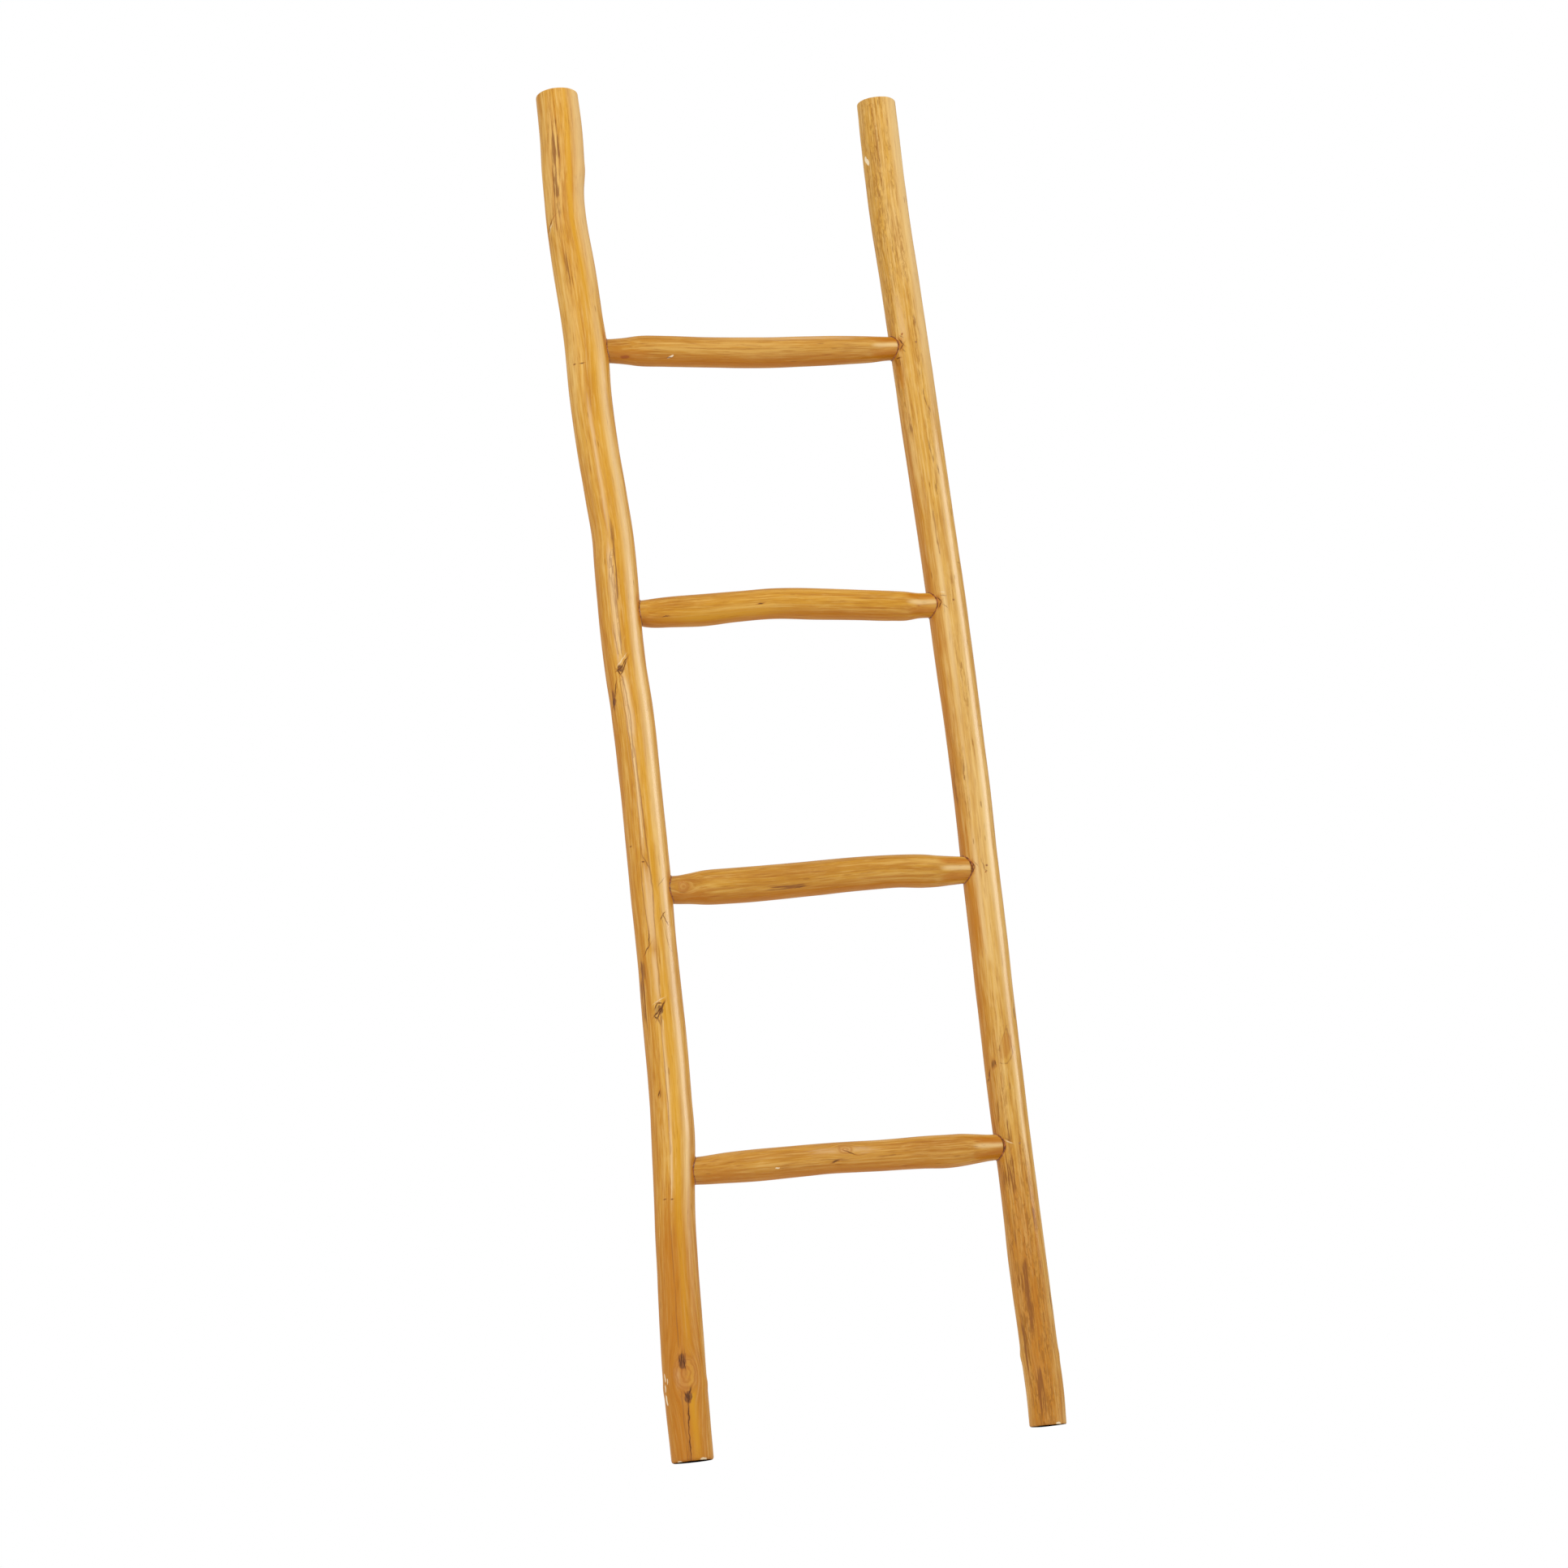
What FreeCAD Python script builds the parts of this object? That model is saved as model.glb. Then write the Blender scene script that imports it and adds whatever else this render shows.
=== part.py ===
import FreeCAD, Part

# Blanket ladder: two natural teak poles and four whittled branch rungs.
# X runs along the rungs, Y from the front to the back, Z up the poles.
# The origin is on the floor, midway between the feet. All sizes are millimetres.

import os
import Sketcher

DOCUMENT_NAME = "blanket_ladder"
SHEET = "sizes"
SIDES = ("left", "right")
OUTWARD = {"left": "-1", "right": "1"}
RUNGS = ("bottom", "lower", "upper", "top")

# The driving sizes of the whole ladder.
MAIN_SIZES = {
    "rail_length": 1800,
    "rail_spacing": 462,
    "left_rail_thickness": 54,
    "right_rail_thickness": 51,
    "sawn_end_length": 12,
    "foot_rounding": 3,
    "head_rounding": 6,
    "first_rung_height": 356,
    "rung_spacing": 361,
    "rung_thickness": 40,
    "joint_stretch": 42,
    "mortise_diameter": 30,
    "mortise_depth": 34,
    "tenon_clearance": 0.25,
    "tenon_end_gap": 1.5,
    "neck_length": 5,
    "nail_shank_diameter": 1.8,
    "nail_head_diameter": 3,
    "nail_head_thickness": 1,
    "nail_point_length": 3,
    "nail_length": 32,
    "nail_sinking": 2.5,
    "glue_bead_width": 2.2,
    "glue_bead_height": 1.8,
}

# Each pole grew with its own bends. A girth of a pole holds how far it bends outwards (+) or
# inwards (-) along X, how far it leans back (+) along Y, and how much thicker it is than the
# pole's nominal thickness.
POLE_ENDS = {
    "left": {"foot": (5.5, 0.0, 0.0), "head": (-3.4, -0.5, 1.8)},
    "right": {"foot": (2.5, 0.0, -3.8), "head": (-6.5, 1.0, 1.5)},
}

# The girth of the pole at each joint, after how far the joint slipped above its nominal height.
POLE_JOINTS = {
    "left": {
        "bottom": (0.0, -9.1, 0.0, -1.0),
        "lower": (-1.5, -17.7, 0.0, -1.0),
        "upper": (3.5, -14.9, 0.0, 0.8),
        "top": (1.0, -7.6, 0.0, 2.0),
    },
    "right": {
        "bottom": (1.0, 2.5, 0.0, -3.2),
        "lower": (5.0, 5.2, 0.0, -2.2),
        "upper": (4.0, 5.2, 0.0, 0.5),
        "top": (4.0, -2.4, 0.0, 1.9),
    },
}

# The girths between the joints, after the share of the way up from the joint or foot below to the
# joint or head above.
BAYS = ("below_bottom", "below_lower", "below_upper", "below_top", "below_head")
POLE_GIRTHS = {
    "left": {
        "below_bottom": (
            (0.15, 5.2, 1.5, -0.4),
            (0.27, 4.8, 2.0, 1.8),
            (0.46, 2.5, 1.0, -0.5),
            (0.67, -0.5, -0.5, -2.2),
            (0.87, -4.7, -1.5, -3.0),
        ),
        "below_lower": (
            (0.12, -13.5, 1.5, 0.3),
            (0.23, -14.9, 2.5, -0.6),
            (0.48, -16.2, 4.0, -0.4),
            (0.83, -17.2, 2.0, -2.2),
        ),
        "below_upper": (
            (0.38, -18.8, -4.0, -1.0),
            (0.66, -17.8, -5.0, 0.1),
            (0.87, -14.8, -2.5, 0.1),
        ),
        "below_top": (
            (0.14, -16.1, 2.0, 0.9),
            (0.26, -16.5, 3.5, -0.1),
            (0.44, -13.4, 4.5, 0.6),
            (0.72, -7.8, 3.0, 0.3),
        ),
        "below_head": (
            (0.10, -5.4, -1.2, 1.1),
            (0.27, -2.6, -3.2, 1.7),
            (0.48, 1.4, -4.6, -0.9),
            (0.57, 1.1, -4.2, -1.2),
            (0.68, -1.1, -3.6, 2.4),
            (0.85, -3.6, -2.0, 3.1),
        ),
    },
    "right": {
        "below_bottom": (
            (0.09, 4.1, -0.5, -3.0),
            (0.27, 3.4, -1.5, -3.0),
            (0.58, 2.5, -2.0, -2.3),
            (0.90, 2.9, -1.0, -3.8),
        ),
        "below_lower": (
            (0.29, 2.7, 2.0, -2.0),
            (0.50, 3.3, 3.0, -2.7),
            (0.75, 4.5, 2.0, -1.7),
        ),
        "below_upper": (
            (0.28, 7.7, 1.5, -0.8),
            (0.49, 7.5, 2.0, -1.3),
            (0.78, 5.9, 1.0, 0.2),
        ),
        "below_top": (
            (0.34, 2.5, -3.0, 0.5),
            (0.65, 0.3, -3.5, 1.5),
        ),
        "below_head": (
            (0.27, -4.9, 3.0, 2.0),
            (0.55, -7.4, 4.5, 2.6),
            (0.73, -7.6, 4.0, 2.6),
        ),
    },
}

# How much thicker each whittled rung end is than its mortise.
NECK_SHOULDERS = {
    "bottom": {"left": 4.5, "right": 2.5},
    "lower": {"left": 5.5, "right": 4.5},
    "upper": {"left": 3.5, "right": 3.0},
    "top": {"left": 1.5, "right": 1.0},
}

# The girths of each rung between its two necks: the share of the way from the left neck to the right
# one, the rise above the rung's nominal height, the bow to the back, and the thickness above nominal.
RUNG_GIRTHS = {
    "bottom": (
        (0.05, 0.5, 0.3, -1.8),
        (0.14, 1.0, 0.5, 0.5),
        (0.28, 2.0, 1.0, -0.2),
        (0.43, 3.0, 1.5, -1.0),
        (0.62, 1.6, 1.0, 0.0),
        (0.77, 1.2, 0.8, 1.4),
        (0.88, 0.8, 0.5, 2.2),
        (0.95, 1.0, 0.3, -0.6),
    ),
    "lower": (
        (0.05, -2.3, 0.3, -0.8),
        (0.10, -1.5, 0.5, 3.2),
        (0.20, -1.0, 0.3, 5.4),
        (0.36, 1.0, 0.0, 5.6),
        (0.55, 4.2, -1.0, 4.7),
        (0.70, 6.6, -1.0, 3.8),
        (0.83, 7.3, -0.5, 3.0),
        (0.94, 5.6, 0.0, 1.4),
    ),
    "upper": (
        (0.08, 4.0, 0.5, -0.2),
        (0.18, 6.0, 1.5, 2.0),
        (0.33, 9.6, 2.5, 0.2),
        (0.48, 12.6, 3.0, 0.4),
        (0.63, 10.6, 2.5, 1.5),
        (0.78, 7.8, 1.5, 0.6),
        (0.93, 5.0, 0.5, -0.6),
    ),
    "top": (
        (0.06, 1.0, -0.2, -2.0),
        (0.14, 0.8, -0.5, 0.4),
        (0.31, -0.9, -1.5, 0.0),
        (0.55, -1.8, -1.5, 1.0),
        (0.70, 0.0, -1.0, 0.1),
        (0.84, 2.2, -0.5, -2.0),
        (0.94, 3.2, -0.2, -4.6),
    ),
}

# Length by which a cutting or joining solid runs past the surface that it works on.
OVERRUN = 12

# An edge that spans less height than this is level.
FLAT = 0.01

document = FreeCAD.newDocument(DOCUMENT_NAME)


def write_sheet():
    """Writes every driving size into the spreadsheet, one aliased cell for each."""
    values = dict(MAIN_SIZES)
    for side in SIDES:
        for end, girth in POLE_ENDS[side].items():
            values.update(aliased(f"{side}_{end}", ("bend", "lean", "swell"), girth))
        for rung, girth in POLE_JOINTS[side].items():
            values.update(aliased(f"{side}_{rung}", ("slip", "bend", "lean", "swell"), girth))
        for bay, girths in POLE_GIRTHS[side].items():
            for place, girth in enumerate(girths):
                words = ("share", "bend", "lean", "swell")
                values.update(aliased(f"{side}_{bay}_{place}", words, girth))
    for rung in RUNGS:
        for side in SIDES:
            values[f"{side}_{rung}_shoulder"] = NECK_SHOULDERS[rung][side]
        for place, girth in enumerate(RUNG_GIRTHS[rung]):
            values.update(aliased(f"{rung}_{place}", ("share", "rise", "bow", "swell"), girth))
    sheet = document.addObject("Spreadsheet::Sheet", SHEET)
    for line, (alias, value) in enumerate(values.items(), start=1):
        sheet.set(f"A{line}", alias.replace("_", " "))
        sheet.set(f"B{line}", str(value))
        sheet.setAlias(f"B{line}", alias)
    document.recompute()


def aliased(stem, words, values):
    """Names each value of a girth for its cell."""
    return {f"{stem}_{word}": value for word, value in zip(words, values)}


def size(alias):
    """The expression that reads one cell of the spreadsheet."""
    return f"{SHEET}.{alias}"


def rung_level(rung):
    """The nominal height of a rung."""
    return f"({size('first_rung_height')} + {RUNGS.index(rung)} * {size('rung_spacing')})"


def joint_height(side, rung):
    """The height of the mortise that takes one end of a rung."""
    return f"({rung_level(rung)} + {size(f'{side}_{rung}_slip')})"


def pole_x(side, girth):
    """Where the middle of a pole's girth lies along X."""
    return f"({OUTWARD[side]} * ({size('rail_spacing')} / 2 + {size(f'{side}_{girth}_bend')}))"


def pole_lean(side, girth):
    """Where the middle of a pole's girth lies along Y."""
    return size(f"{side}_{girth}_lean")


def pole_thickness(side, girth):
    """The thickness of a pole at one girth."""
    return f"({size(f'{side}_rail_thickness')} + {size(f'{side}_{girth}_swell')})"


def inner_face(side, rung):
    """Where the face of the pole that the rung meets lies along X."""
    return f"({pole_x(side, rung)} - {OUTWARD[side]} * {pole_thickness(side, rung)} / 2)"


def neck_thickness(side, rung):
    """The thickness of the rung where it meets the pole: its mortise and a shoulder round it."""
    return f"({size('mortise_diameter')} + {size(f'{side}_{rung}_shoulder')})"


def tenon_thickness():
    """The tenon is thinner than its mortise by the clearance on each side."""
    return f"({size('mortise_diameter')} - 2 * {size('tenon_clearance')})"


def origin_plane(body, role):
    """One of a body's own three origin planes."""
    return next(plane for plane in body.Origin.OriginFeatures if plane.Role == role)


def circle_sketch(body, name, role, thickness, offset):
    """A sketch that holds one circle, moved from an origin plane by the three offset expressions."""
    sketch = body.newObject("Sketcher::SketchObject", name)
    sketch.AttachmentSupport = [(origin_plane(body, role), "")]
    sketch.MapMode = "FlatFace"
    sketch.addGeometry(Part.Circle(FreeCAD.Vector(0, 0, 0), FreeCAD.Vector(0, 0, 1), 10), False)
    sketch.addConstraint(Sketcher.Constraint("Coincident", 0, 3, -1, 1))
    radius = sketch.addConstraint(Sketcher.Constraint("Radius", 0, 10))
    sketch.renameConstraint(radius, "radius")
    sketch.setExpression("Constraints.radius", f"{thickness} / 2")
    for axis, expression in zip("xyz", offset):
        sketch.setExpression(f"AttachmentOffset.Base.{axis}", expression)
    return sketch


def pad_circle(body, sketch, name, length, backwards=False):
    """A straight round stretch that starts at a sketched circle."""
    pad = body.newObject("PartDesign::Pad", name)
    pad.Profile = sketch
    pad.Reversed = backwards
    pad.setExpression("Length", length)
    return pad


def loft_through(body, sketches, name):
    """One smooth skin through a row of sketched girths."""
    loft = body.newObject("PartDesign::AdditiveLoft", name)
    loft.Profile = sketches[0]
    loft.Sections = sketches[1:]
    loft.Ruled = False


def pole_circle(body, side, girth, place, height):
    """The round of a pole at one of its girths."""
    offset = (pole_x(side, girth), pole_lean(side, girth), height)
    return circle_sketch(body, f"{side}_{place}", "XY_Plane", pole_thickness(side, girth), offset)


def sawn_end(body, side, end, height):
    """A straight stretch at the foot or head of a pole, rounded over at its sawn edge."""
    circle = pole_circle(body, side, end, f"{end}_circle", height)
    stretch = pad_circle(body, circle, f"{side}_{end}", size("sawn_end_length"))
    document.recompute()
    box = stretch.Shape.BoundBox
    sawn_height = box.ZMax if end == "head" else box.ZMin
    edges = [
        f"Edge{number}"
        for number, edge in enumerate(stretch.Shape.Edges, start=1)
        if edge.BoundBox.ZLength < FLAT and abs(edge.BoundBox.ZMin - sawn_height) < FLAT
    ]
    rounding = body.newObject("PartDesign::Fillet", f"{side}_{end}_rounding")
    rounding.Base = (stretch, edges)
    rounding.setExpression("Radius", size(f"{end}_rounding"))
    document.recompute()


def joint_ends(side, rung):
    """The heights at which the straight stretch round a joint starts and stops."""
    half = f"{size('joint_stretch')} / 2"
    return f"({joint_height(side, rung)} - {half})", f"({joint_height(side, rung)} + {half})"


def grow_bay(body, side, bay, below, above):
    """The crooked stretch of a pole between two straight ones, each a girth and a height."""
    circles = [pole_circle(body, side, below[0], f"{bay}_start", below[1])]
    for place in range(len(POLE_GIRTHS[side][bay])):
        share = size(f"{side}_{bay}_{place}_share")
        height = f"{below[1]} + {share} * ({above[1]} - {below[1]})"
        circles.append(pole_circle(body, side, f"{bay}_{place}", f"{bay}_{place}", height))
    circles.append(pole_circle(body, side, above[0], f"{bay}_end", above[1]))
    loft_through(body, circles, f"{side}_{bay}")
    document.recompute()


def make_pole(side):
    """A pole with rounded sawn ends, crooked bays and a blind mortise in each straight joint."""
    body = document.addObject("PartDesign::Body", f"{side}_pole")
    sawn_end(body, side, "foot", "0")
    below = ("foot", size("sawn_end_length"))
    for rung, bay in zip(RUNGS, BAYS):
        start, stop = joint_ends(side, rung)
        grow_bay(body, side, bay, below, (rung, start))
        circle = pole_circle(body, side, rung, f"{rung}_joint_circle", start)
        pad_circle(body, circle, f"{side}_{rung}_joint", size("joint_stretch"))
        document.recompute()
        below = (rung, stop)
    head_start = f"({size('rail_length')} - {size('sawn_end_length')})"
    grow_bay(body, side, BAYS[-1], below, ("head", head_start))
    sawn_end(body, side, "head", head_start)
    for rung in RUNGS:
        bore_mortise(body, side, rung)
    return body


def bore_mortise(body, side, rung):
    """Bores the blind hole that takes one rung end, from its flat bottom out past the inner face."""
    before = body.Tip.Shape.Volume
    bottom = f"{inner_face(side, rung)} + {OUTWARD[side]} * {size('mortise_depth')}"
    offset = (pole_lean(side, rung), joint_height(side, rung), bottom)
    name = f"{side}_{rung}_mortise"
    circle = circle_sketch(body, f"{name}_circle", "YZ_Plane", size("mortise_diameter"), offset)
    mortise = body.newObject("PartDesign::Pocket", name)
    mortise.Profile = circle
    mortise.Reversed = side == "left"
    mortise.setExpression("Length", f"{size('mortise_depth')} + {OVERRUN}")
    document.recompute()
    if mortise.Shape.Volume >= before:
        raise RuntimeError(f"{mortise.Name} cut nothing")


def neck_start(side, rung):
    """Where the straight neck of a rung starts along X, on the inner side of its pole."""
    return f"({inner_face(side, rung)} - {OUTWARD[side]} * {size('neck_length')})"


def neck_place(side, rung):
    """The place of the neck's round, as the offset of its sketch."""
    return (pole_lean(side, rung), joint_height(side, rung), neck_start(side, rung))


def rung_circles(body, rung):
    """The rounds of a rung from its left neck to its right one."""
    start, stop = neck_start("left", rung), neck_start("right", rung)
    rounds = [(neck_thickness("left", rung), neck_place("left", rung))]
    for place in range(len(RUNG_GIRTHS[rung])):
        word = f"{rung}_{place}"
        thickness = f"{size('rung_thickness')} + {size(f'{word}_swell')}"
        height = f"{rung_level(rung)} + {size(f'{word}_rise')}"
        along = f"{start} + {size(f'{word}_share')} * ({stop} - {start})"
        rounds.append((f"({thickness})", (size(f"{word}_bow"), height, along)))
    rounds.append((neck_thickness("right", rung), neck_place("right", rung)))
    return [
        circle_sketch(body, f"{rung}_round_{number}", "YZ_Plane", thickness, offset)
        for number, (thickness, offset) in enumerate(rounds)
    ]


def bar_across(name, side, rung, thickness, start, length):
    """A cylinder on the axis of a joint's mortise, from a place along X outwards into the pole."""
    angle = 90 if side == "right" else -90
    turn = FreeCAD.Rotation(FreeCAD.Vector(0, 1, 0), angle)
    place = (start, pole_lean(side, rung), joint_height(side, rung))
    return round_bar(name, thickness, length, place, turn)


def bar_upright(name, side, rung, thickness, length):
    """A cylinder on the axis of a pole's straight joint, centred on the rung."""
    bottom = f"{joint_height(side, rung)} - ({length}) / 2"
    place = (pole_x(side, rung), pole_lean(side, rung), bottom)
    return round_bar(name, thickness, length, place, FreeCAD.Rotation())


def round_bar(name, thickness, length, place, turn):
    """A cylinder whose size and the middle of its lower end are bound to expressions."""
    bar = document.addObject("Part::Cylinder", name)
    bar.setExpression("Radius", f"{thickness} / 2")
    settle(bar, length, place, turn)
    return bar


def settle(bar, length, place, turn):
    """Turns a cylinder or cone, and binds its length and the middle of its lower end."""
    bar.Placement = FreeCAD.Placement(FreeCAD.Vector(0, 0, 0), turn)
    bar.setExpression("Height", length)
    for axis, expression in zip("xyz", place):
        bar.setExpression(f"Placement.Base.{axis}", expression)


def cut(base, tool, name):
    """The base with the tool's solid taken away."""
    result = document.addObject("Part::Cut", name)
    result.Base = base
    result.Tool = tool
    return result


def group(parts, name):
    """Several separate solids under one name."""
    compound = document.addObject("Part::Compound", name)
    compound.Links = parts
    return compound


def fuse(parts, name):
    """Several touching solids made into one."""
    result = document.addObject("Part::MultiFuse", name)
    result.Shapes = parts
    result.Refine = True
    return result


def make_rung(rung, nails):
    """A crooked rung with necks coped to both poles, a tenon in each, and holes for its two nails."""
    body = document.addObject("PartDesign::Body", f"{rung}_branch")
    circles = rung_circles(body, rung)
    loft_through(body, circles, f"{rung}_limb")
    for side in SIDES:
        name, thickness = f"{rung}_{side}_neck", neck_thickness(side, rung)
        neck = circle_sketch(body, f"{name}_circle", "YZ_Plane", thickness, neck_place(side, rung))
        reach = f"{size('neck_length')} + {pole_thickness(side, rung)} / 2"
        pad_circle(body, neck, name, reach, side == "left")
    document.recompute()
    shape = body
    tenons = []
    for side in SIDES:
        height = f"{neck_thickness(side, rung)} + {OVERRUN}"
        core = bar_upright(f"{rung}_{side}_cope", side, rung, pole_thickness(side, rung), height)
        shape = cut(shape, core, f"{rung}_{side}_coped")
        length = f"{size('neck_length')} + {size('mortise_depth')} - {size('tenon_end_gap')}"
        start = neck_start(side, rung)
        name = f"{rung}_{side}_tenon"
        tenons.append(bar_across(name, side, rung, tenon_thickness(), start, length))
    shape = cut(fuse([shape, *tenons], f"{rung}_whole"), nails, f"{rung}_pierced")
    shape.Label = f"rung_{rung}"
    return shape


def nail_seat(side, rung, depth):
    """A point on a nail's axis, a depth below the surface of the pole, and the nail's direction.

    Nails are driven from the front of the right pole and from the back of the left one.
    """
    inward = "1" if side == "right" else "-1"
    turn = FreeCAD.Rotation(FreeCAD.Vector(1, 0, 0), -90 if side == "right" else 90)
    surface = f"{pole_lean(side, rung)} - {inward} * {pole_thickness(side, rung)} / 2"
    place = (pole_x(side, rung), f"{surface} + {inward} * ({depth})", joint_height(side, rung))
    return place, turn


def make_nail(side, rung):
    """A finishing nail: a small head, a shank and a point, sunk below the pole's surface."""
    name = f"{rung}_{side}_nail"
    sinking, head = size("nail_sinking"), size("nail_head_thickness")
    shank, point = size("nail_shank_diameter"), size("nail_point_length")
    shank_length = f"{size('nail_length')} - {head} - {point}"
    place, turn = nail_seat(side, rung, sinking)
    head_bar = round_bar(f"{name}_head", size("nail_head_diameter"), head, place, turn)
    place, turn = nail_seat(side, rung, f"{sinking} + {head}")
    shank_bar = round_bar(f"{name}_shank", shank, shank_length, place, turn)
    place, turn = nail_seat(side, rung, f"{sinking} + {size('nail_length')} - {point}")
    tip = document.addObject("Part::Cone", f"{name}_point")
    tip.Radius2 = 0
    tip.setExpression("Radius1", f"{shank} / 2")
    settle(tip, point, place, turn)
    return fuse([head_bar, shank_bar, tip], name)


def make_filler(side, rung):
    """The plug of wood filler that hides a sunk nail head, flush with the pole."""
    place, turn = nail_seat(side, rung, "0")
    name = f"{rung}_{side}_filler"
    return round_bar(name, size("nail_head_diameter"), size("nail_sinking"), place, turn)


def make_glue_bead(side, rung):
    """The ring of squeezed-out glue in the corner between a rung's neck and its pole."""
    name = f"{rung}_{side}_glue"
    pole, neck = pole_thickness(side, rung), neck_thickness(side, rung)
    outer_pole = f"({pole} + 2 * {size('glue_bead_height')})"
    outer_neck = f"({neck} + 2 * {size('glue_bead_width')})"
    shell = cut(
        bar_upright(f"{name}_skin", side, rung, outer_pole, f"{outer_neck} + {OVERRUN}"),
        bar_upright(f"{name}_core", side, rung, pole, f"{outer_neck} + {2 * OVERRUN}"),
        f"{name}_shell",
    )
    reach = f"{OVERRUN} + {pole} / 2"
    start = f"({inner_face(side, rung)} - {OUTWARD[side]} * {OVERRUN})"
    far_start = f"({inner_face(side, rung)} - {OUTWARD[side]} * {2 * OVERRUN})"
    ring = cut(
        bar_across(f"{name}_rim", side, rung, outer_neck, start, reach),
        bar_across(f"{name}_neck", side, rung, neck, far_start, f"{reach} + {2 * OVERRUN}"),
        f"{name}_ring",
    )
    bead = document.addObject("Part::Common", name)
    bead.Base = shell
    bead.Tool = ring
    bead.Label = f"glue_bead_{rung}_{side}"
    return bead


def build():
    """Builds every piece and returns them in the order in which they are written."""
    write_sheet()
    nails = {side: [make_nail(side, rung) for rung in RUNGS] for side in SIDES}
    fillers = {side: [make_filler(side, rung) for rung in RUNGS] for side in SIDES}
    rails = []
    for side in SIDES:
        fixings = group(nails[side] + fillers[side], f"{side}_fixings")
        rail = cut(make_pole(side), fixings, f"{side}_pole_nailed")
        rail.Label = f"{side}_rail"
        rails.append(rail)
    rungs = []
    for number, rung in enumerate(RUNGS):
        pair = group([nails[side][number] for side in SIDES], f"{rung}_nails")
        rungs.append(make_rung(rung, pair))
    beads = [make_glue_bead(side, rung) for rung in RUNGS for side in SIDES]
    joint_nails = group(nails["left"] + nails["right"], "joint_nails")
    nail_filler = group(fillers["left"] + fillers["right"], "nail_filler")
    return [*rails, *rungs, joint_nails, nail_filler, *beads]


def check(pieces):
    """Stops the build if any object failed or any piece isn't a sound solid."""
    for thing in document.Objects:
        if {"Invalid", "Error"} & set(thing.State):
            raise RuntimeError(f"{thing.Name} failed: {thing.State}")
    for piece in pieces:
        if piece.Shape.isNull() or not piece.Shape.isValid() or not piece.Shape.Solids:
            raise RuntimeError(f"{piece.Label} isn't a sound solid")


def write(pieces):
    """Writes each piece to a file of its own name."""
    os.makedirs("parts", exist_ok=True)
    for piece in pieces:
        piece.Shape.exportStep(os.path.join("parts", f"{piece.Label}.step"))
        box, solids = piece.Shape.BoundBox, piece.Shape.Solids
        print(
            f"{piece.Label}: {len(solids)} solids, {piece.Shape.Volume / 1000:.2f} cm3,"
            f" {box.XLength:.1f} x {box.YLength:.1f} x {box.ZLength:.1f} mm"
        )


PIECES = build()
document.recompute()
check(PIECES)
write(PIECES)
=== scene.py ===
"""A blanket ladder of two peeled teak branches and four branch rungs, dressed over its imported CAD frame.

Tables of sizes are in millimetres and degrees; meshes are built in metres, in the frame of the CAD.
A branch is described along its own length: "along" runs up a pole or to the right on a rung, "angle" goes
round it from the front, towards the right on a pole and upwards on a rung.
"""

import logging
import math
from dataclasses import dataclass, field
from enum import Enum
from typing import Any, Iterable, Sequence

import bmesh
import bpy
import numpy as np
from bpy.types import Material, Mesh, NodeSocket as Socket, Object
from mathutils import Matrix, Vector
from mathutils.bvhtree import BVHTree


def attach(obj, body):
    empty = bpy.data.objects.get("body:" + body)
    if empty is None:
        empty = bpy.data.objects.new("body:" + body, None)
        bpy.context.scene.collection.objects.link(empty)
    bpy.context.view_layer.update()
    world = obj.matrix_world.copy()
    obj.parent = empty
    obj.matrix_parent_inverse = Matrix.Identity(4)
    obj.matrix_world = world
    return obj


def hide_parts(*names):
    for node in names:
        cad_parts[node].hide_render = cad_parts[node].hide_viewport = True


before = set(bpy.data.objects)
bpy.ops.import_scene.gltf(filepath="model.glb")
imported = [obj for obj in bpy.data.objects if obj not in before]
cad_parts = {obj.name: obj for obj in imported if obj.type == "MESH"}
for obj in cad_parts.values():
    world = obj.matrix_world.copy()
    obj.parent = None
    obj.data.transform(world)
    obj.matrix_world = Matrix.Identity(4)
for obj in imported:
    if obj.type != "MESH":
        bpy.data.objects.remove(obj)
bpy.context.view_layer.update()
LOG = logging.getLogger("ladder")
MM = 0.001
BODY = "root"
FAR = 1000.0           # millimetres: farther from a point than any line on its branch
DOUBLED = 0.001        # millimetres: points closer than this are one point


class Side(Enum):
    """The two poles, as seen from the front."""

    LEFT = "left"
    RIGHT = "right"


class Place(Enum):
    """The four rungs, from the floor up."""

    BOTTOM = "bottom"
    LOWER = "lower"
    UPPER = "upper"
    TOP = "top"


class Run(Enum):
    """Which way a branch runs: the axes of its across, depth and along measures."""

    UPRIGHT = (0, 1, 2)
    LEVEL = (2, 1, 0)


class Tone(Enum):
    """Soft tints, each kept as one attribute of the mesh: mostly the wood's own colour, but amber also paints
    shade and cream paints a highlight.
    """

    AMBER = "amber"
    GOLD = "gold"
    VIOLET = "violet"
    SILVER = "silver"
    CREAM = "cream"
    MOTTLE = "mottle"


class Light(Enum):
    """What a lamp is there for: lighting the wood, or only a shine in the lacquer."""

    WASH = "wash"
    GLOSS = "gloss"


class Mark(Enum):
    """Sharp marks, drawn by the material at their places."""

    CRACK = "crack"
    HAIR = "hair"
    CHIP = "chip"
    KNOT = "knot"
    PATCH = "patch"
    GOUGE = "gouge"
    PALE = "pale"
    RUST = "rust"


@dataclass(frozen=True)
class Station:
    """Where a branch's heart runs and how thick the branch is there."""

    along: float
    across: float
    depth: float
    thickness: float


@dataclass(frozen=True)
class Swelling:
    """A bump, or with a negative height a hollow, with an optional raised collar round it."""

    along: float
    angle: float
    height: float
    length: float
    width: float
    collar: float = 0.0


@dataclass(frozen=True)
class StainAndPaintedLight:
    """A soft streak or patch of another tone: a stain in the wood, painted shade, or a painted highlight."""

    tone: Tone
    along: float
    angle: float
    length: float
    width: float
    strength: float = 1.0


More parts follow.
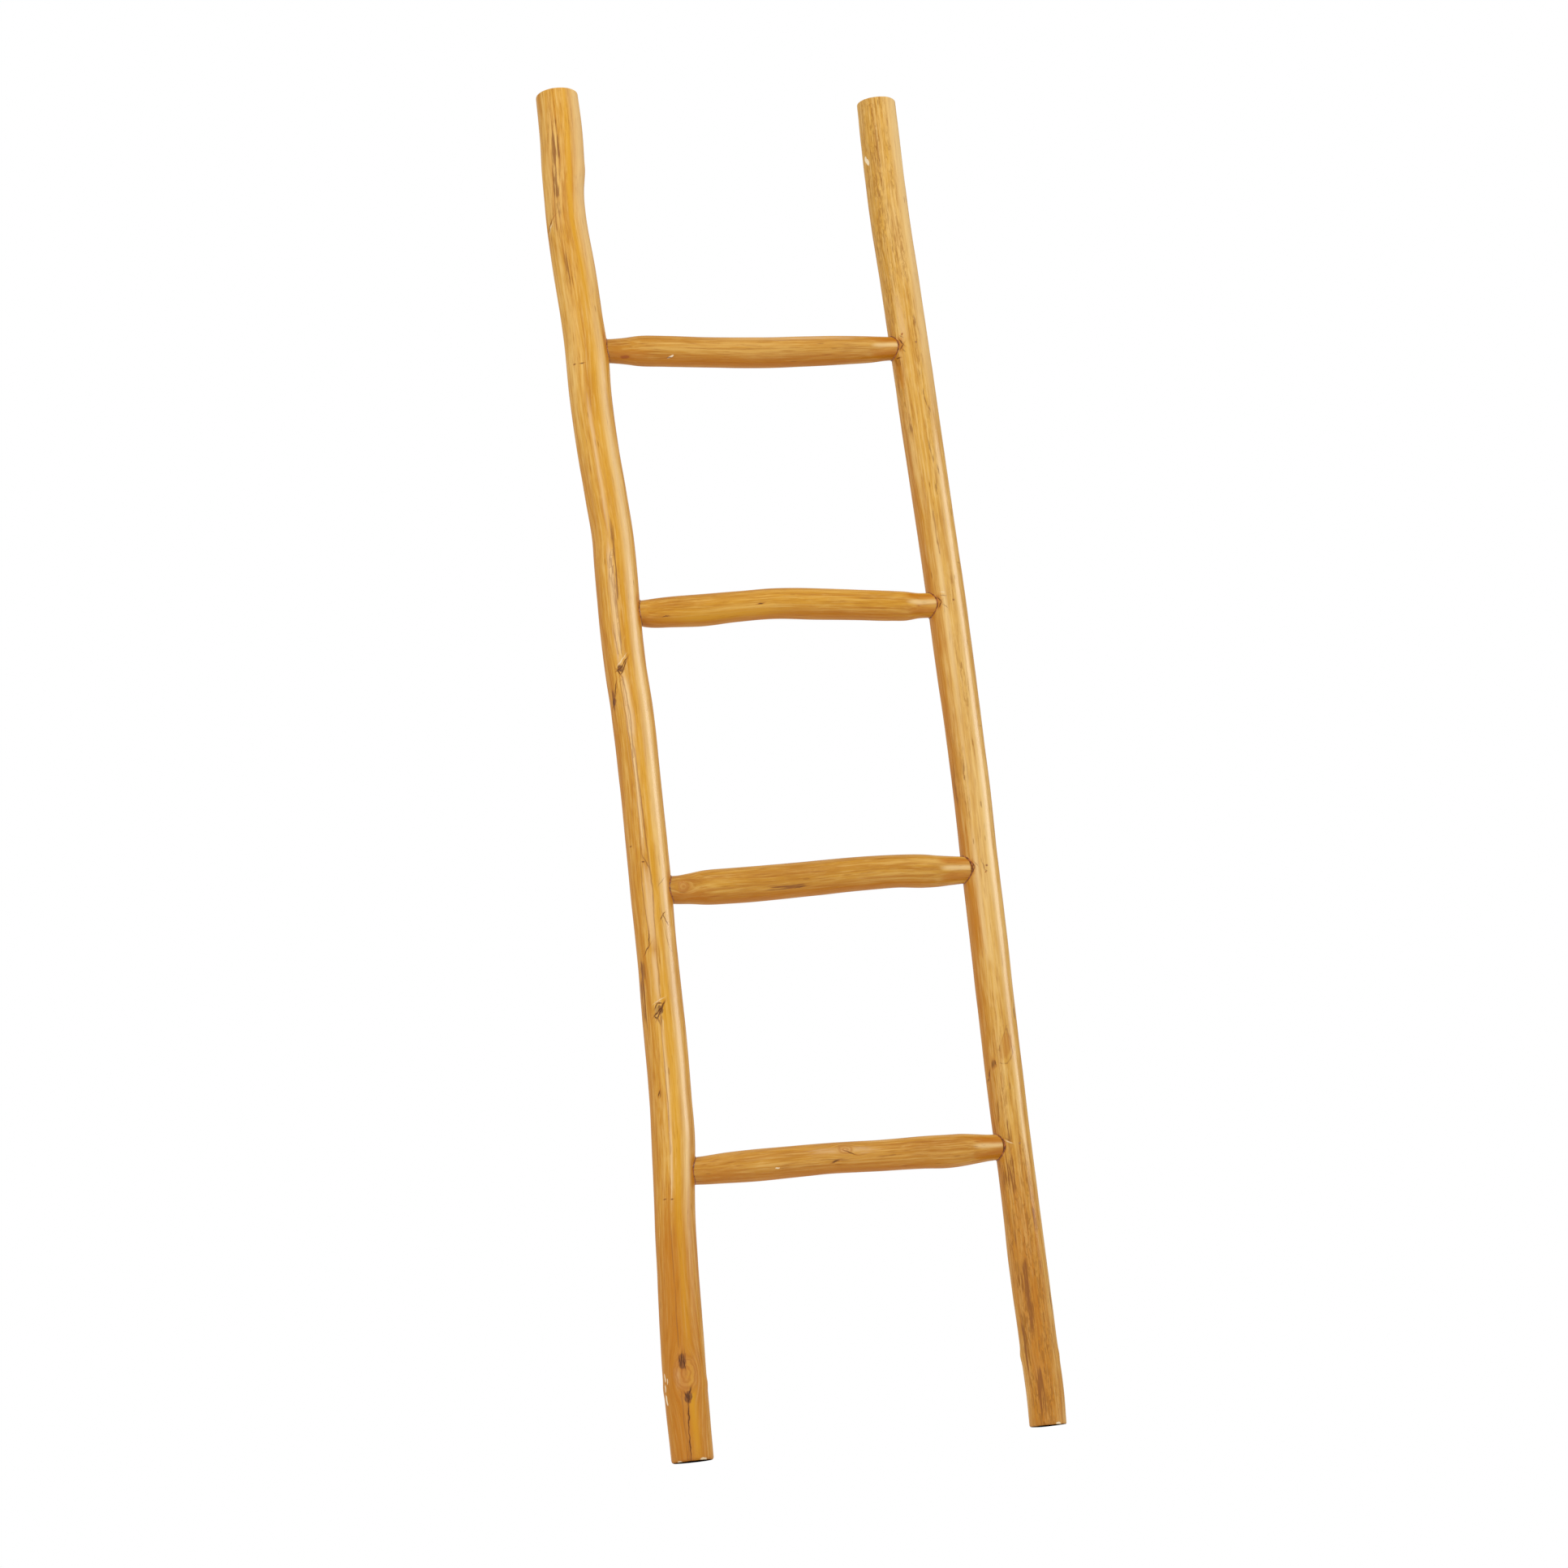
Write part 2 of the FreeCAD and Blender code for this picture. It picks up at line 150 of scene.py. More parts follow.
@dataclass(frozen=True)
class Scar:
    """A sharp mark: half its length and width, and how far it leans from the grain."""

    mark: Mark
    along: float
    angle: float
    length: float
    width: float
    slant: float = 0.0

    def strokes(self, radius: float) -> list["Scar"]:
        """The straight marks that the material draws: here the scar itself."""
        return [self]


@dataclass(frozen=True)
class Line:
    """A thin mark that wanders: half its width, and its points as (along, angle)."""

    mark: Mark
    width: float
    points: tuple[tuple[float, float], ...]
    overlap: float = 1.25

    def strokes(self, radius: float) -> list[Scar]:
        """Cuts the line into short straight marks.

        Args:
            radius: The radius of the branch.

        Returns:
            One scar for each stretch between two points.
        """
        found = []
        for (start, start_angle), (stop, stop_angle) in zip(self.points, self.points[1:]):
            across, up = math.radians(stop_angle - start_angle) * radius, stop - start
            found.append(Scar(self.mark, (start + stop) / 2, (start_angle + stop_angle) / 2,
                              math.hypot(across, up) / 2 * self.overlap, self.width,
                              math.degrees(math.atan2(across, up))))
        return found


@dataclass(frozen=True)
class Vein:
    """A long hairline in the grain, kept in the mesh: half its width, and its points as (along, angle)."""

    mark: Mark
    width: float
    points: tuple[tuple[float, float], ...]
    fade: float = 4.0

    def offsets(self, along: np.ndarray, angle: np.ndarray, radius: float) -> tuple[np.ndarray, np.ndarray]:
        """Measures how far points of the skin lie from the line.

        Args:
            along: Where each point is along the branch.
            angle: Where each point is round it, in radians.
            radius: The radius of the branch.

        Returns:
            The distance to the line, with a sign for its side, and how far past its ends a point is.
        """
        nearest, past = np.full(along.shape, FAR), np.zeros(along.shape)
        last = len(self.points) - 2
        for i, ((start, start_angle), (stop, stop_angle)) in enumerate(zip(self.points, self.points[1:])):
            across, up = turned(angle, start_angle) * radius, along - start
            run, rise = math.radians(stop_angle - start_angle) * radius, stop - start
            length = math.hypot(run, rise)
            share = (across * run + up * rise) / length ** 2
            held = np.clip(share, 0.0, 1.0)
            gap = np.hypot(across - held * run, up - held * rise)
            gap *= np.where(across * rise - up * run < 0.0, -1.0, 1.0)
            over = np.zeros(along.shape)
            if i == 0:
                over = np.maximum(over, -share * length)
            if i == last:
                over = np.maximum(over, (share - 1.0) * length)
            closer = np.abs(gap) < np.abs(nearest)
            nearest, past = np.where(closer, gap, nearest), np.where(closer, over, past)
        return nearest, past


def turned(angle: np.ndarray, start: float) -> np.ndarray:
    """How far angles in radians are turned from one in degrees, the short way round."""
    return (angle - math.radians(start) + math.pi) % math.tau - math.pi


def linear(code: str) -> tuple[float, float, float, float]:
    """Turns an sRGB hex colour into the linear colour that a socket takes.

    Args:
        code: The colour as #RRGGBB.

    Returns:
        Linear red, green and blue with an alpha of one.
    """
    parts = [int(code[i:i + 2], 16) / 255 for i in (1, 3, 5)]
    red, green, blue = (c / 12.92 if c <= 0.04045 else ((c + 0.055) / 1.055) ** 2.4 for c in parts)
    return red, green, blue, 1.0


def add(tree: bpy.types.NodeTree, kind: str, inputs: dict[Any, Any] | None = None, out: int = 0,
        **settings: Any) -> Socket | None:
    """Adds a node with its settings and links.

    Args:
        tree: The tree that gets the node.
        kind: The node's type.
        inputs: A value or an output socket for each input, by name or number.
        out: Which output to hand back.
        **settings: The node's own properties.

    Returns:
        The chosen output socket, or None where the node has no outputs.
    """
    node = tree.nodes.new(kind)
    for key, value in settings.items():
        setattr(node, key, value)
    for key, value in (inputs or {}).items():
        if isinstance(value, Socket):
            tree.links.new(value, node.inputs[key])
        else:
            node.inputs[key].default_value = value
    return node.outputs[out] if len(node.outputs) else None


def maths(tree: bpy.types.NodeTree, kind: str, first: Any, second: Any = 0.0, third: Any = 0.0) -> Socket:
    """One sum on sockets or numbers."""
    return add(tree, "ShaderNodeMath", {0: first, 1: second, 2: third}, operation=kind)


def emptied(data: Material | bpy.types.World) -> bpy.types.NodeTree:
    """Clears the nodes of a material or a world.

    Args:
        data: The material or the world.

    Returns:
        Its empty tree.
    """
    data.use_nodes = True
    data.node_tree.nodes.clear()
    return data.node_tree


def hung(name: str, data: bpy.types.ID) -> Object:
    """Makes an object of a mesh, a lamp or a camera, and links it to the scene.

    Args:
        name: The object's name.
        data: What it shows.

    Returns:
        The object.
    """
    made = bpy.data.objects.new(name, data)
    bpy.context.scene.collection.objects.link(made)
    return made


def store(mesh: Mesh, name: str, values: np.ndarray) -> None:
    """Keeps a number or a vector for each point as an attribute of the mesh.

    Args:
        mesh: The mesh.
        name: The attribute's name.
        values: One row for each point.
    """
    kind, slot = ("FLOAT", "value") if values.ndim == 1 else ("FLOAT_VECTOR", "vector")
    mesh.attributes.new(name, kind, "POINT").data.foreach_set(slot, values.astype(np.float32).ravel())


def outward(mesh: Mesh) -> None:
    """Merges doubled points and turns every face outwards.

    Args:
        mesh: The mesh.
    """
    work = bmesh.new()
    work.from_mesh(mesh)
    bmesh.ops.remove_doubles(work, verts=work.verts, dist=DOUBLED * MM)
    bmesh.ops.recalc_face_normals(work, faces=work.faces)
    work.to_mesh(mesh)
    work.free()


def flowing(knots: Sequence[float], values: Sequence[float], at: np.ndarray) -> np.ndarray:
    """Draws a smooth curve through values at uneven places.

    Args:
        knots: The places, rising.
        values: The value at each place.
        at: Where the curve is wanted.

    Returns:
        The curve's value at each wanted place.
    """
    x, y = np.asarray(knots, float), np.asarray(values, float)
    gap = np.diff(x)
    slope = np.diff(y) / gap
    inner = (slope[:-1] * gap[1:] + slope[1:] * gap[:-1]) / (gap[:-1] + gap[1:])
    tangent = np.concatenate(([slope[0]], inner, [slope[-1]]))
    at = np.clip(at, x[0], x[-1])
    i = np.clip(np.searchsorted(x, at, side="right") - 1, 0, len(gap) - 1)
    h = gap[i]
    t = (at - x[i]) / h
    rise, fall = t * t * (3 - 2 * t), t * (1 - t)
    return (y[i] * (1 - rise) + y[i + 1] * rise
            + h * fall * ((1 - t) * tangent[i] - t * tangent[i + 1]))


@dataclass
class NodeTree:
    """A Geometry Nodes tree with named inputs, and its modifier's settings."""

    name: str
    sizes: dict[str, float | int]
    tree: bpy.types.NodeTree = field(init=False)
    own: Any = field(init=False)

    def __post_init__(self) -> None:
        """Makes the tree's interface: geometry in and out, and one input for each size."""
        self.tree = bpy.data.node_groups.new(self.name, "GeometryNodeTree")
        face = self.tree.interface
        for way in ("INPUT", "OUTPUT"):
            face.new_socket("Geometry", in_out=way, socket_type="NodeSocketGeometry")
        for name, value in self.sizes.items():
            kind = "NodeSocketInt" if isinstance(value, int) else "NodeSocketFloat"
            face.new_socket(name, in_out="INPUT", socket_type=kind)
        self.own = self.tree.nodes.new("NodeGroupInput").outputs

    def swept(self, girth: Socket, caps: bool) -> Socket:
        """Sweeps a ring along the guide's line.

        Args:
            girth: The ring's radius.
            caps: Whether the ends are closed.

        Returns:
            The swept skin.
        """
        line = add(self.tree, "GeometryNodeMeshToCurve", {0: self.own["Geometry"]})
        ring = add(self.tree, "GeometryNodeCurvePrimitiveCircle", {"Resolution": self.own["Sides"],
                                                                   "Radius": 1.0})
        return add(self.tree, "GeometryNodeCurveToMesh", {"Curve": line, "Profile Curve": ring,
                                                          "Scale": girth, "Fill Caps": caps})

    def finish(self, shape: Socket, material: Material) -> None:
        """Ends the tree: shaded smooth, instances made real, then the material.

        Args:
            shape: The geometry that the tree has made.
            material: Its finish.
        """
        smooth = add(self.tree, "GeometryNodeSetShadeSmooth", {"Geometry": shape})
        real = add(self.tree, "GeometryNodeRealizeInstances", {0: smooth})
        dressed = add(self.tree, "GeometryNodeSetMaterial", {"Geometry": real, "Material": material})
        add(self.tree, "NodeGroupOutput", {0: dressed})

    def apply(self, guide: Object, name: str) -> Object:
        """Runs the tree on a guide and keeps the result as a plain mesh.

        Args:
            guide: The object that carries the guide; it is removed.
            name: The name of the new piece.

        Returns:
            The new piece, with no modifier.
        """
        modifier = guide.modifiers.new(self.name, "NODES")
        modifier.node_group = self.tree
        for item in self.tree.interface.items_tree:
            if item.in_out == "INPUT" and item.name in self.sizes:
                modifier[item.identifier] = self.sizes[item.name]
        seen = guide.evaluated_get(bpy.context.evaluated_depsgraph_get())
        mesh = bpy.data.meshes.new_from_object(seen)
        guide.modifiers.clear()
        bpy.data.objects.remove(guide)
        mesh.name = name
        return hung(name, mesh)


def guide_object(name: str, points: np.ndarray, closed: bool, values: dict[str, np.ndarray],
                 joined: bool = True) -> Object:
    """Makes a mesh of points, joined in a line or loose, for a node tree to work on.

    Args:
        name: The object's name.
        points: The points, in metres.
        closed: Whether the line runs back to its start.
        values: Point attributes, a number or a vector for each point.
        joined: False leaves the points loose.

    Returns:
        The guide object, linked to the scene.
    """
    count = len(points)
    edges = [(i, (i + 1) % count) for i in range(count if closed else count - 1)] if joined else []
    mesh = bpy.data.meshes.new(name)
    mesh.from_pydata([tuple(p) for p in points], edges, [])
    for key, value in values.items():
        store(mesh, key, value)
    return hung(name, mesh)


@dataclass(frozen=True)
class Pattern:
    """Noise stretched along the grain: its size in millimetres, its detail, its start and its warp."""

    across: float
    along: float
    detail: float
    shift: float
    warp: float = 0.0


@dataclass(frozen=True)
class StainAndLightLook:
    """The colour of a soft tint (a stain in the wood, painted shade, or a painted highlight), how soft its
    edge is, how far the fibres fray it, and its share.
    """

    colour: str
    edge: float
    fray: float
    share: float


@dataclass(frozen=True)
class MarkLook:
    """A mark's colour, the share of its half size where it starts and is full, and its strength."""

    mark: Mark
    colour: str
    outer: float
    inner: float
    share: float


BARE_WOOD, KNOT_WOOD, TORN_WOOD, CRACK_DIRT = "#F4E2BE", "#AC6620", "#5A3828", "#4A2810"
STAIN_AND_LIGHT_LOOKS = {
    # Cream paints a highlight, a pale streak along the lacquer's shine; amber is the wood's deep tint and
    # also paints shade on shaded sides and undersides.
    Tone.CREAM: StainAndLightLook("#EAC88C", 0.5, 0.3, 0.7),
    Tone.AMBER: StainAndLightLook("#B66C0C", 0.5, 0.7, 0.75),
    Tone.GOLD: StainAndLightLook("#D4991A", 0.45, 0.7, 0.7),
    Tone.SILVER: StainAndLightLook("#E6C08A", 0.35, 1.3, 0.75),
    Tone.VIOLET: StainAndLightLook("#6C3820", 0.3, 4.4, 0.62),
    Tone.MOTTLE: StainAndLightLook("#96601E", 0.4, 1.1, 0.65),
}
MARK_LOOKS = (
    MarkLook(Mark.PALE, BARE_WOOD, 1.5, 0.2, 0.55),
    MarkLook(Mark.RUST, "#9A4B12", 1.2, 0.5, 0.8),
    MarkLook(Mark.CHIP, BARE_WOOD, 1.1, 0.75, 0.9),
    MarkLook(Mark.HAIR, STAIN_AND_LIGHT_LOOKS[Tone.VIOLET].colour, 1.5, 0.2, 0.55),
    MarkLook(Mark.CRACK, KNOT_WOOD, 2.4, 1.1, 0.45),
    MarkLook(Mark.CRACK, CRACK_DIRT, 1.4, 0.4, 0.85),
)
FILLED_MARKS = ((Mark.PATCH, KNOT_WOOD, 0.5), (Mark.GOUGE, TORN_WOOD, 0.85))
VEIN_LOOKS = ((Mark.PALE, STAIN_AND_LIGHT_LOOKS[Tone.CREAM].colour, 0.6), (Mark.HAIR, "#8E5A2C", 0.6))


@dataclass
class Paint:
    """One material in the making: its nodes, and the colour laid on so far."""

    name: str
    colour: Any
    material: Material = field(init=False)
    tree: bpy.types.NodeTree = field(init=False)

    def __post_init__(self) -> None:
        """Makes the material, empty of nodes."""
        self.material = bpy.data.materials.new(self.name)
        self.tree = emptied(self.material)

    def node(self, kind: str, inputs: dict[Any, Any] | None = None, out: int = 0, **settings: Any) -> Socket:
        """Adds a node to the material."""
        return add(self.tree, kind, inputs, out, **settings)

    def attribute(self, name: str, out: int = 1) -> Socket:
        """Reads an attribute of the mesh: output 1 is a vector, output 2 a number."""
        return self.node("ShaderNodeAttribute", out=out, attribute_name=name)

    def pattern(self, source: Socket, look: Pattern) -> Socket:
        """Draws noise by its real size.

        Args:
            source: The place on the branch, in millimetres.
            look: The noise's sizes.

        Returns:
            The noise, from 0 to 1.
        """
        scale = (1 / look.across, 1 / look.across, 1 / look.along)
        start = (look.shift, look.shift * 1.7, look.shift * 0.6)
        place = self.node("ShaderNodeMapping", {"Vector": source, "Scale": scale, "Location": start})
        return self.node("ShaderNodeTexNoise", {"Vector": place, "Scale": 1.0, "Detail": look.detail,
                                                "Roughness": 0.55, "Distortion": look.warp})

    def ramp(self, value: Socket, low: float, high: float, bottom: float = 0.0, top: float = 1.0,
             kind: str = "SMOOTHSTEP") -> Socket:
        """A step from bottom to top as the value goes from low to high."""
        return self.node("ShaderNodeMapRange", {"Value": value, "From Min": low, "From Max": high,
                                                "To Min": bottom, "To Max": top}, interpolation_type=kind)

    def maths(self, kind: str, first: Any, second: Any = 0.0, third: Any = 0.0) -> Socket:
        """One sum on sockets or numbers."""
        return maths(self.tree, kind, first, second, third)

    def times(self, first: Any, second: Any) -> Socket:
        """One value times another."""
        return self.maths("MULTIPLY", first, second)

    def swayed(self, value: Any, by: Socket, middle: float, reach: float) -> Socket:
        """A value moved to and fro by a pattern."""
        return self.maths("MULTIPLY_ADD", self.maths("SUBTRACT", by, middle), reach, value)

    def lay(self, colour: str, share: Any) -> None:
        """Lays a colour over what is there, by a share."""
        self.colour = self.node("ShaderNodeMix", {"Factor": share, "A": self.colour, "B": linear(colour)},
                                out=2, data_type="RGBA")

    def bump(self, strength: float, depth: float, height: Socket) -> Socket:
        """The normal of a relief whose depth is in millimetres."""
        return self.node("ShaderNodeBump", {"Strength": strength, "Distance": depth * MM, "Height": height})

    def finish(self, inputs: dict[str, Any]) -> Material:
        """Ends the material with its surface.

        Args:
            inputs: The surface's inputs, apart from its colour.

        Returns:
            The material.
        """
        shader = self.node("ShaderNodeBsdfPrincipled", {"Base Color": self.colour} | inputs)
        self.node("ShaderNodeOutputMaterial", {"Surface": shader})
        return self.material


@dataclass(frozen=True)
class LacqueredTeak:
    """Teak branch, peeled, sanded and sprayed with clear satin lacquer.

    To the eye: honey colour with slow amber and pale drifts, long fine fibres, short dark pores, contour
    bands where the rings were shaved, and a soft shine from the lacquer; its soft tints also paint shade and
    a highlight into the colour.
    """

    name: str
    honey: str = "#D29A38"
    pale: str = "#E9C074"
    toast: str = "#AC681C"
    pore: str = "#8C5416"
    tone: Pattern = Pattern(30.0, 230.0, 3.0, 0.0)           # slow drifts in tone, as in the photograph
    streak: Pattern = Pattern(7.0, 260.0, 3.0, 11.0, 0.15)   # a few millimetres wide and a hand long
    cloud: Pattern = Pattern(8.0, 26.0, 3.0, 17.0, 0.4)      # cloudy figure under the lacquer
    strand: Pattern = Pattern(3.4, 110.0, 2.0, 23.0, 0.2)    # strands of fibre
    fine: Pattern = Pattern(1.7, 32.0, 3.0, 29.0)            # fibres, wider than real ones so that they show
    band: Pattern = Pattern(17.0, 210.0, 1.5, 37.0, 0.3)     # contour bands of the shaved growth rings
    band_count: float = 6.0
    band_share: float = 0.2
    mottle: Pattern = Pattern(2.4, 13.0, 3.0, 51.0, 0.9)     # squiggles in the mottled patches
    clump: Pattern = Pattern(12.0, 45.0, 2.0, 57.0)          # the clumps that the squiggles come in
    pore_across: float = 7.0       # one pore dash in a cell of this width and length, where real pores are
    pore_along: float = 42.0       # thinner and closer together
    pore_lean: float = 0.05
    pore_share: float = 0.75       # the share of cells without a pore
    pore_depth: float = 0.5
    wobble_pitch: float = 0.14     # how the marks' edges wander: waves in a millimetre, and their reach in
    wobble_reach: float = 3.4      # millimetres
    mark_depth: float = 0.7        # how deep a mark reaches into the branch, as a share of its radius
    vein_wander: float = 5.0       # how far a long line strays, in its own half widths
    bump_strength: float = 0.4
    bump_depth: float = 0.5
    roughness: float = 0.4
    coat: float = 0.4
    coat_roughness: float = 0.22

    def material(self, scars: Iterable[Scar | Line], radius: float) -> Material:
        """Builds the finish for one branch.

        Args:
            scars: The sharp marks on this branch.
            radius: The branch's mean radius, where the marks sit.

        Returns:
            The material.
        """
        paint = Paint(self.name, linear(self.honey))
        fibre, grain = paint.attribute("fibre"), paint.attribute("grain")
        looks = (self.tone, self.streak, self.cloud, self.strand, self.fine)
        tone, streak, cloud, strand, fine = (paint.pattern(fibre, look) for look in looks)
        paint.lay(self.pale, paint.ramp(tone, 0.5, 0.68, 0.0, 0.5))
        paint.lay(self.toast, paint.ramp(tone, 0.48, 0.3, 0.0, 0.45))
        bands = paint.pattern(fibre, self.band)
        wave = paint.maths("SINE", paint.times(bands, self.band_count * math.tau))
        paint.lay(self.toast, paint.times(paint.ramp(wave, 0.2, 1.0, 0.0, self.band_share),
                                          paint.ramp(streak, 0.35, 0.6)))
        for pattern, darker, paler in ((streak, 0.34, 0.4), (cloud, 0.16, 0.2), (strand, 0.36, 0.36),
                                       (fine, 0.42, 0.42)):
            paint.lay(self.toast, paint.ramp(pattern, 0.51, 0.7, 0.0, darker))
            paint.lay(self.pale, paint.ramp(pattern, 0.48, 0.29, 0.0, paler))
        mottled = self.stain(paint, strand, fine)
        paint.lay(self.pore, paint.ramp(fine, 0.62, 0.76, 0.0, 0.4))
        squiggle = paint.pattern(fibre, self.mottle)
        clump = paint.ramp(paint.pattern(fibre, self.clump), 0.38, 0.55, 0.3, 1.0)
        spots = paint.times(paint.ramp(squiggle, 0.46, 0.56), clump)
        look = STAIN_AND_LIGHT_LOOKS[Tone.MOTTLE]
        paint.lay(look.colour, paint.times(spots, paint.times(mottled, look.share)))
        pores = self.pores(paint, fibre)
        self.scar(paint, self.reaches(paint, grain, scars, radius), cloud, strand)
        relief = paint.maths("MULTIPLY_ADD", strand, 0.16, paint.times(fine, 0.1))
        height = paint.maths("SUBTRACT", relief, paint.times(pores, 0.25))
        bump = paint.bump(self.bump_strength, self.bump_depth, height)
        gloss = paint.ramp(strand, 0.35, 0.7, self.roughness - 0.05, self.roughness + 0.08)
        return paint.finish({"Roughness": gloss, "IOR": 1.5, "Coat Weight": self.coat,
                             "Coat Roughness": self.coat_roughness, "Coat IOR": 1.6, "Normal": bump,
                             "Specular IOR Level": 0.0})

    def stain(self, paint: Paint, strand: Socket, fine: Socket) -> Socket:
        """Lays the soft tints, with edges that follow the fibres: colour of the wood, painted shade and a
        painted highlight.

        Args:
            paint: The material in the making.
            strand: The strands of fibre.
            fine: The fine fibres.

        Returns:
            Where the mottled patches are.
        """
        rag = paint.maths("ADD", paint.times(strand, 0.7), paint.times(fine, 0.7))
        # Amber here also paints shade, and cream paints a highlight.
        for tone, look in STAIN_AND_LIGHT_LOOKS.items():
            soft = paint.attribute(tone.value, 2)
            ragged = paint.swayed(paint.times(soft, 0.8), rag, 0.7, look.fray)
            mask = paint.times(paint.ramp(ragged, 0.4 - look.edge, 0.4 + look.edge),
                               paint.ramp(soft, 0.0, 0.3))
            if tone is not Tone.MOTTLE:
                paint.lay(look.colour, paint.times(mask, look.share))
        return mask

    def pores(self, paint: Paint, fibre: Socket) -> Socket:
        """Draws the short dark dashes of the pores.

        Args:
            paint: The material in the making.
            fibre: The place along the fibres.

        Returns:
            Where the pores are.
        """
        scale = (1 / self.pore_across, 1 / self.pore_across, 1 / self.pore_along)
        cells = paint.node("ShaderNodeMapping", {"Vector": fibre, "Rotation": (0.0, self.pore_lean, 0.0),
                                                 "Scale": scale})
        voronoi = paint.tree.nodes.new("ShaderNodeTexVoronoi")
        paint.tree.links.new(cells, voronoi.inputs["Vector"])
        voronoi.inputs["Scale"].default_value = 1.0
        chance = paint.node("ShaderNodeSeparateColor", {0: voronoi.outputs["Color"]})
        pores = paint.times(paint.ramp(voronoi.outputs["Distance"], 0.16, 0.08),
                            paint.maths("GREATER_THAN", chance, self.pore_share))
        paint.lay(self.pore, paint.times(pores, self.pore_depth))
        return pores

    def reaches(self, paint: Paint, grain: Socket, scars: Iterable[Scar | Line],
                radius: float) -> dict[Mark, Socket]:
        """Measures how far each point of the skin is from the nearest sharp mark of each kind.

        Args:
            paint: The material in the making.
            grain: The place on the branch, in millimetres.
            scars: The sharp marks.
            radius: The branch's mean radius.

        Returns:
            For each kind of mark the distance, in the mark's own half sizes.
        """
        wobble = paint.node("ShaderNodeTexNoise", {"Vector": grain, "Detail": 3.0,
                                                   "Scale": self.wobble_pitch}, out=1)
        centred = paint.node("ShaderNodeVectorMath", {0: wobble, 1: (0.5,) * 3}, operation="SUBTRACT")
        near = paint.node("ShaderNodeVectorMath", {0: centred, 1: (self.wobble_reach,) * 3, 2: grain},
                          operation="MULTIPLY_ADD")
        reach = {}
        for scar in (stroke for mark in scars for stroke in mark.strokes(radius)):
            turn = math.radians(scar.angle)
            local = paint.node("ShaderNodeMapping",
                               {"Vector": near, "Rotation": (0.0, math.radians(scar.slant), turn),
                                "Location": (radius * math.sin(turn), -radius * math.cos(turn), scar.along),
                                "Scale": (scar.width, radius * self.mark_depth, scar.length)},
                               vector_type="TEXTURE")
            span = paint.node("ShaderNodeVectorMath", {0: local}, out=1, operation="LENGTH")
            if scar.mark in reach:
                span = paint.maths("MINIMUM", reach[scar.mark], span)
            reach[scar.mark] = span
        return reach

    def scar(self, paint: Paint, reach: dict[Mark, Socket], cloud: Socket, strand: Socket) -> None:
        """Lays the long lines and the sharp marks.

        Args:
            paint: The material in the making.
            reach: How far the marks of each kind are.
            cloud: The cloudy figure, which makes their edges stray.
            strand: The strands of fibre, which break them up.
        """
        for mark, colour, share in VEIN_LOOKS:
            line = paint.tree.nodes.new("ShaderNodeSeparateXYZ")
            paint.tree.links.new(paint.attribute(f"{mark.value}_line"), line.inputs[0])
            gap = paint.swayed(line.outputs[0], cloud, 0.5, self.vein_wander)
            drawn = paint.times(paint.ramp(paint.maths("ABSOLUTE", gap), 1.6, 0.2), line.outputs[1])
            paint.lay(colour, paint.times(drawn, paint.ramp(strand, 0.36, 0.56, 0.15, share)))
        if Mark.KNOT in reach:
            span = paint.swayed(reach[Mark.KNOT], cloud, 0.5, 2.2)
            inside = paint.ramp(span, 1.15, 0.75)
            swirl = paint.maths("SINE", paint.maths("MULTIPLY_ADD", span, 13.0, paint.times(strand, 9.0)))
            paint.lay(STAIN_AND_LIGHT_LOOKS[Tone.SILVER].colour, paint.times(inside, 0.08))
            paint.lay(KNOT_WOOD, paint.times(inside, paint.ramp(swirl, -0.3, 1.0, 0.1, 0.55)))
            rim = paint.times(paint.ramp(span, 1.25, 1.05), paint.ramp(span, 0.8, 1.0))
            paint.lay(KNOT_WOOD, paint.times(rim, 0.4))
        for mark, colour, share in FILLED_MARKS:
            if mark in reach:
                span = paint.swayed(reach[mark], cloud, 0.5, 1.2)
                filled = paint.times(paint.ramp(span, 1.05, 0.8), paint.ramp(strand, 0.32, 0.6, 0.35, 1.0))
                paint.lay(colour, paint.times(filled, share))
        for look in MARK_LOOKS:
            if look.mark in reach:
                paint.lay(look.colour, paint.ramp(reach[look.mark], look.outer, look.inner, 0.0, look.share))


@dataclass(frozen=True)
class SawnTeak:
    """End grain of a sawn teak branch: growth rings round the pith, dry and rough, browner than the side."""

    name: str = "sawn_teak_end_grain"
    light: str = "#C08A4A"
    dark: str = "#8A5526"
    stain: str = "#6E4420"
    pith: tuple[float, float, float] = (3.0, -2.0, 0.0)
    ring: float = 2.6
    waver: float = 9.0
    roughness: float = 0.62

    def material(self) -> Material:
        """Builds the finish.

        Returns:
            The material.
        """
        paint = Paint(self.name, linear(self.light))
        grain = paint.attribute("grain")
        flat = paint.node("ShaderNodeMapping", {"Vector": grain, "Location": self.pith,
                                                "Scale": (1.0, 1.0, 0.0)})
        reach = paint.node("ShaderNodeVectorMath", {0: flat}, out=1, operation="LENGTH")
        waver = paint.node("ShaderNodeTexNoise", {"Vector": grain, "Scale": 0.09, "Detail": 2.0})
        turns = paint.maths("MULTIPLY_ADD", waver, self.waver, reach)
        rings = paint.maths("SINE", paint.times(turns, math.tau / self.ring))
        paint.lay(self.dark, paint.ramp(rings, -0.3, 1.0, 0.0, 0.8, "LINEAR"))
        saw = paint.node("ShaderNodeMapping", {"Vector": grain, "Rotation": (0.0, 0.0, 0.5),
                                               "Scale": (0.9, 0.05, 1.0)})
        marks = paint.node("ShaderNodeTexNoise", {"Vector": saw, "Scale": 1.0, "Detail": 3.0})
        paint.lay(self.stain, paint.ramp(marks, 0.45, 0.75, 0.0, 0.5, "LINEAR"))
        return paint.finish({"Roughness": self.roughness, "IOR": 1.5, "Normal": paint.bump(0.6, 0.4, marks)})


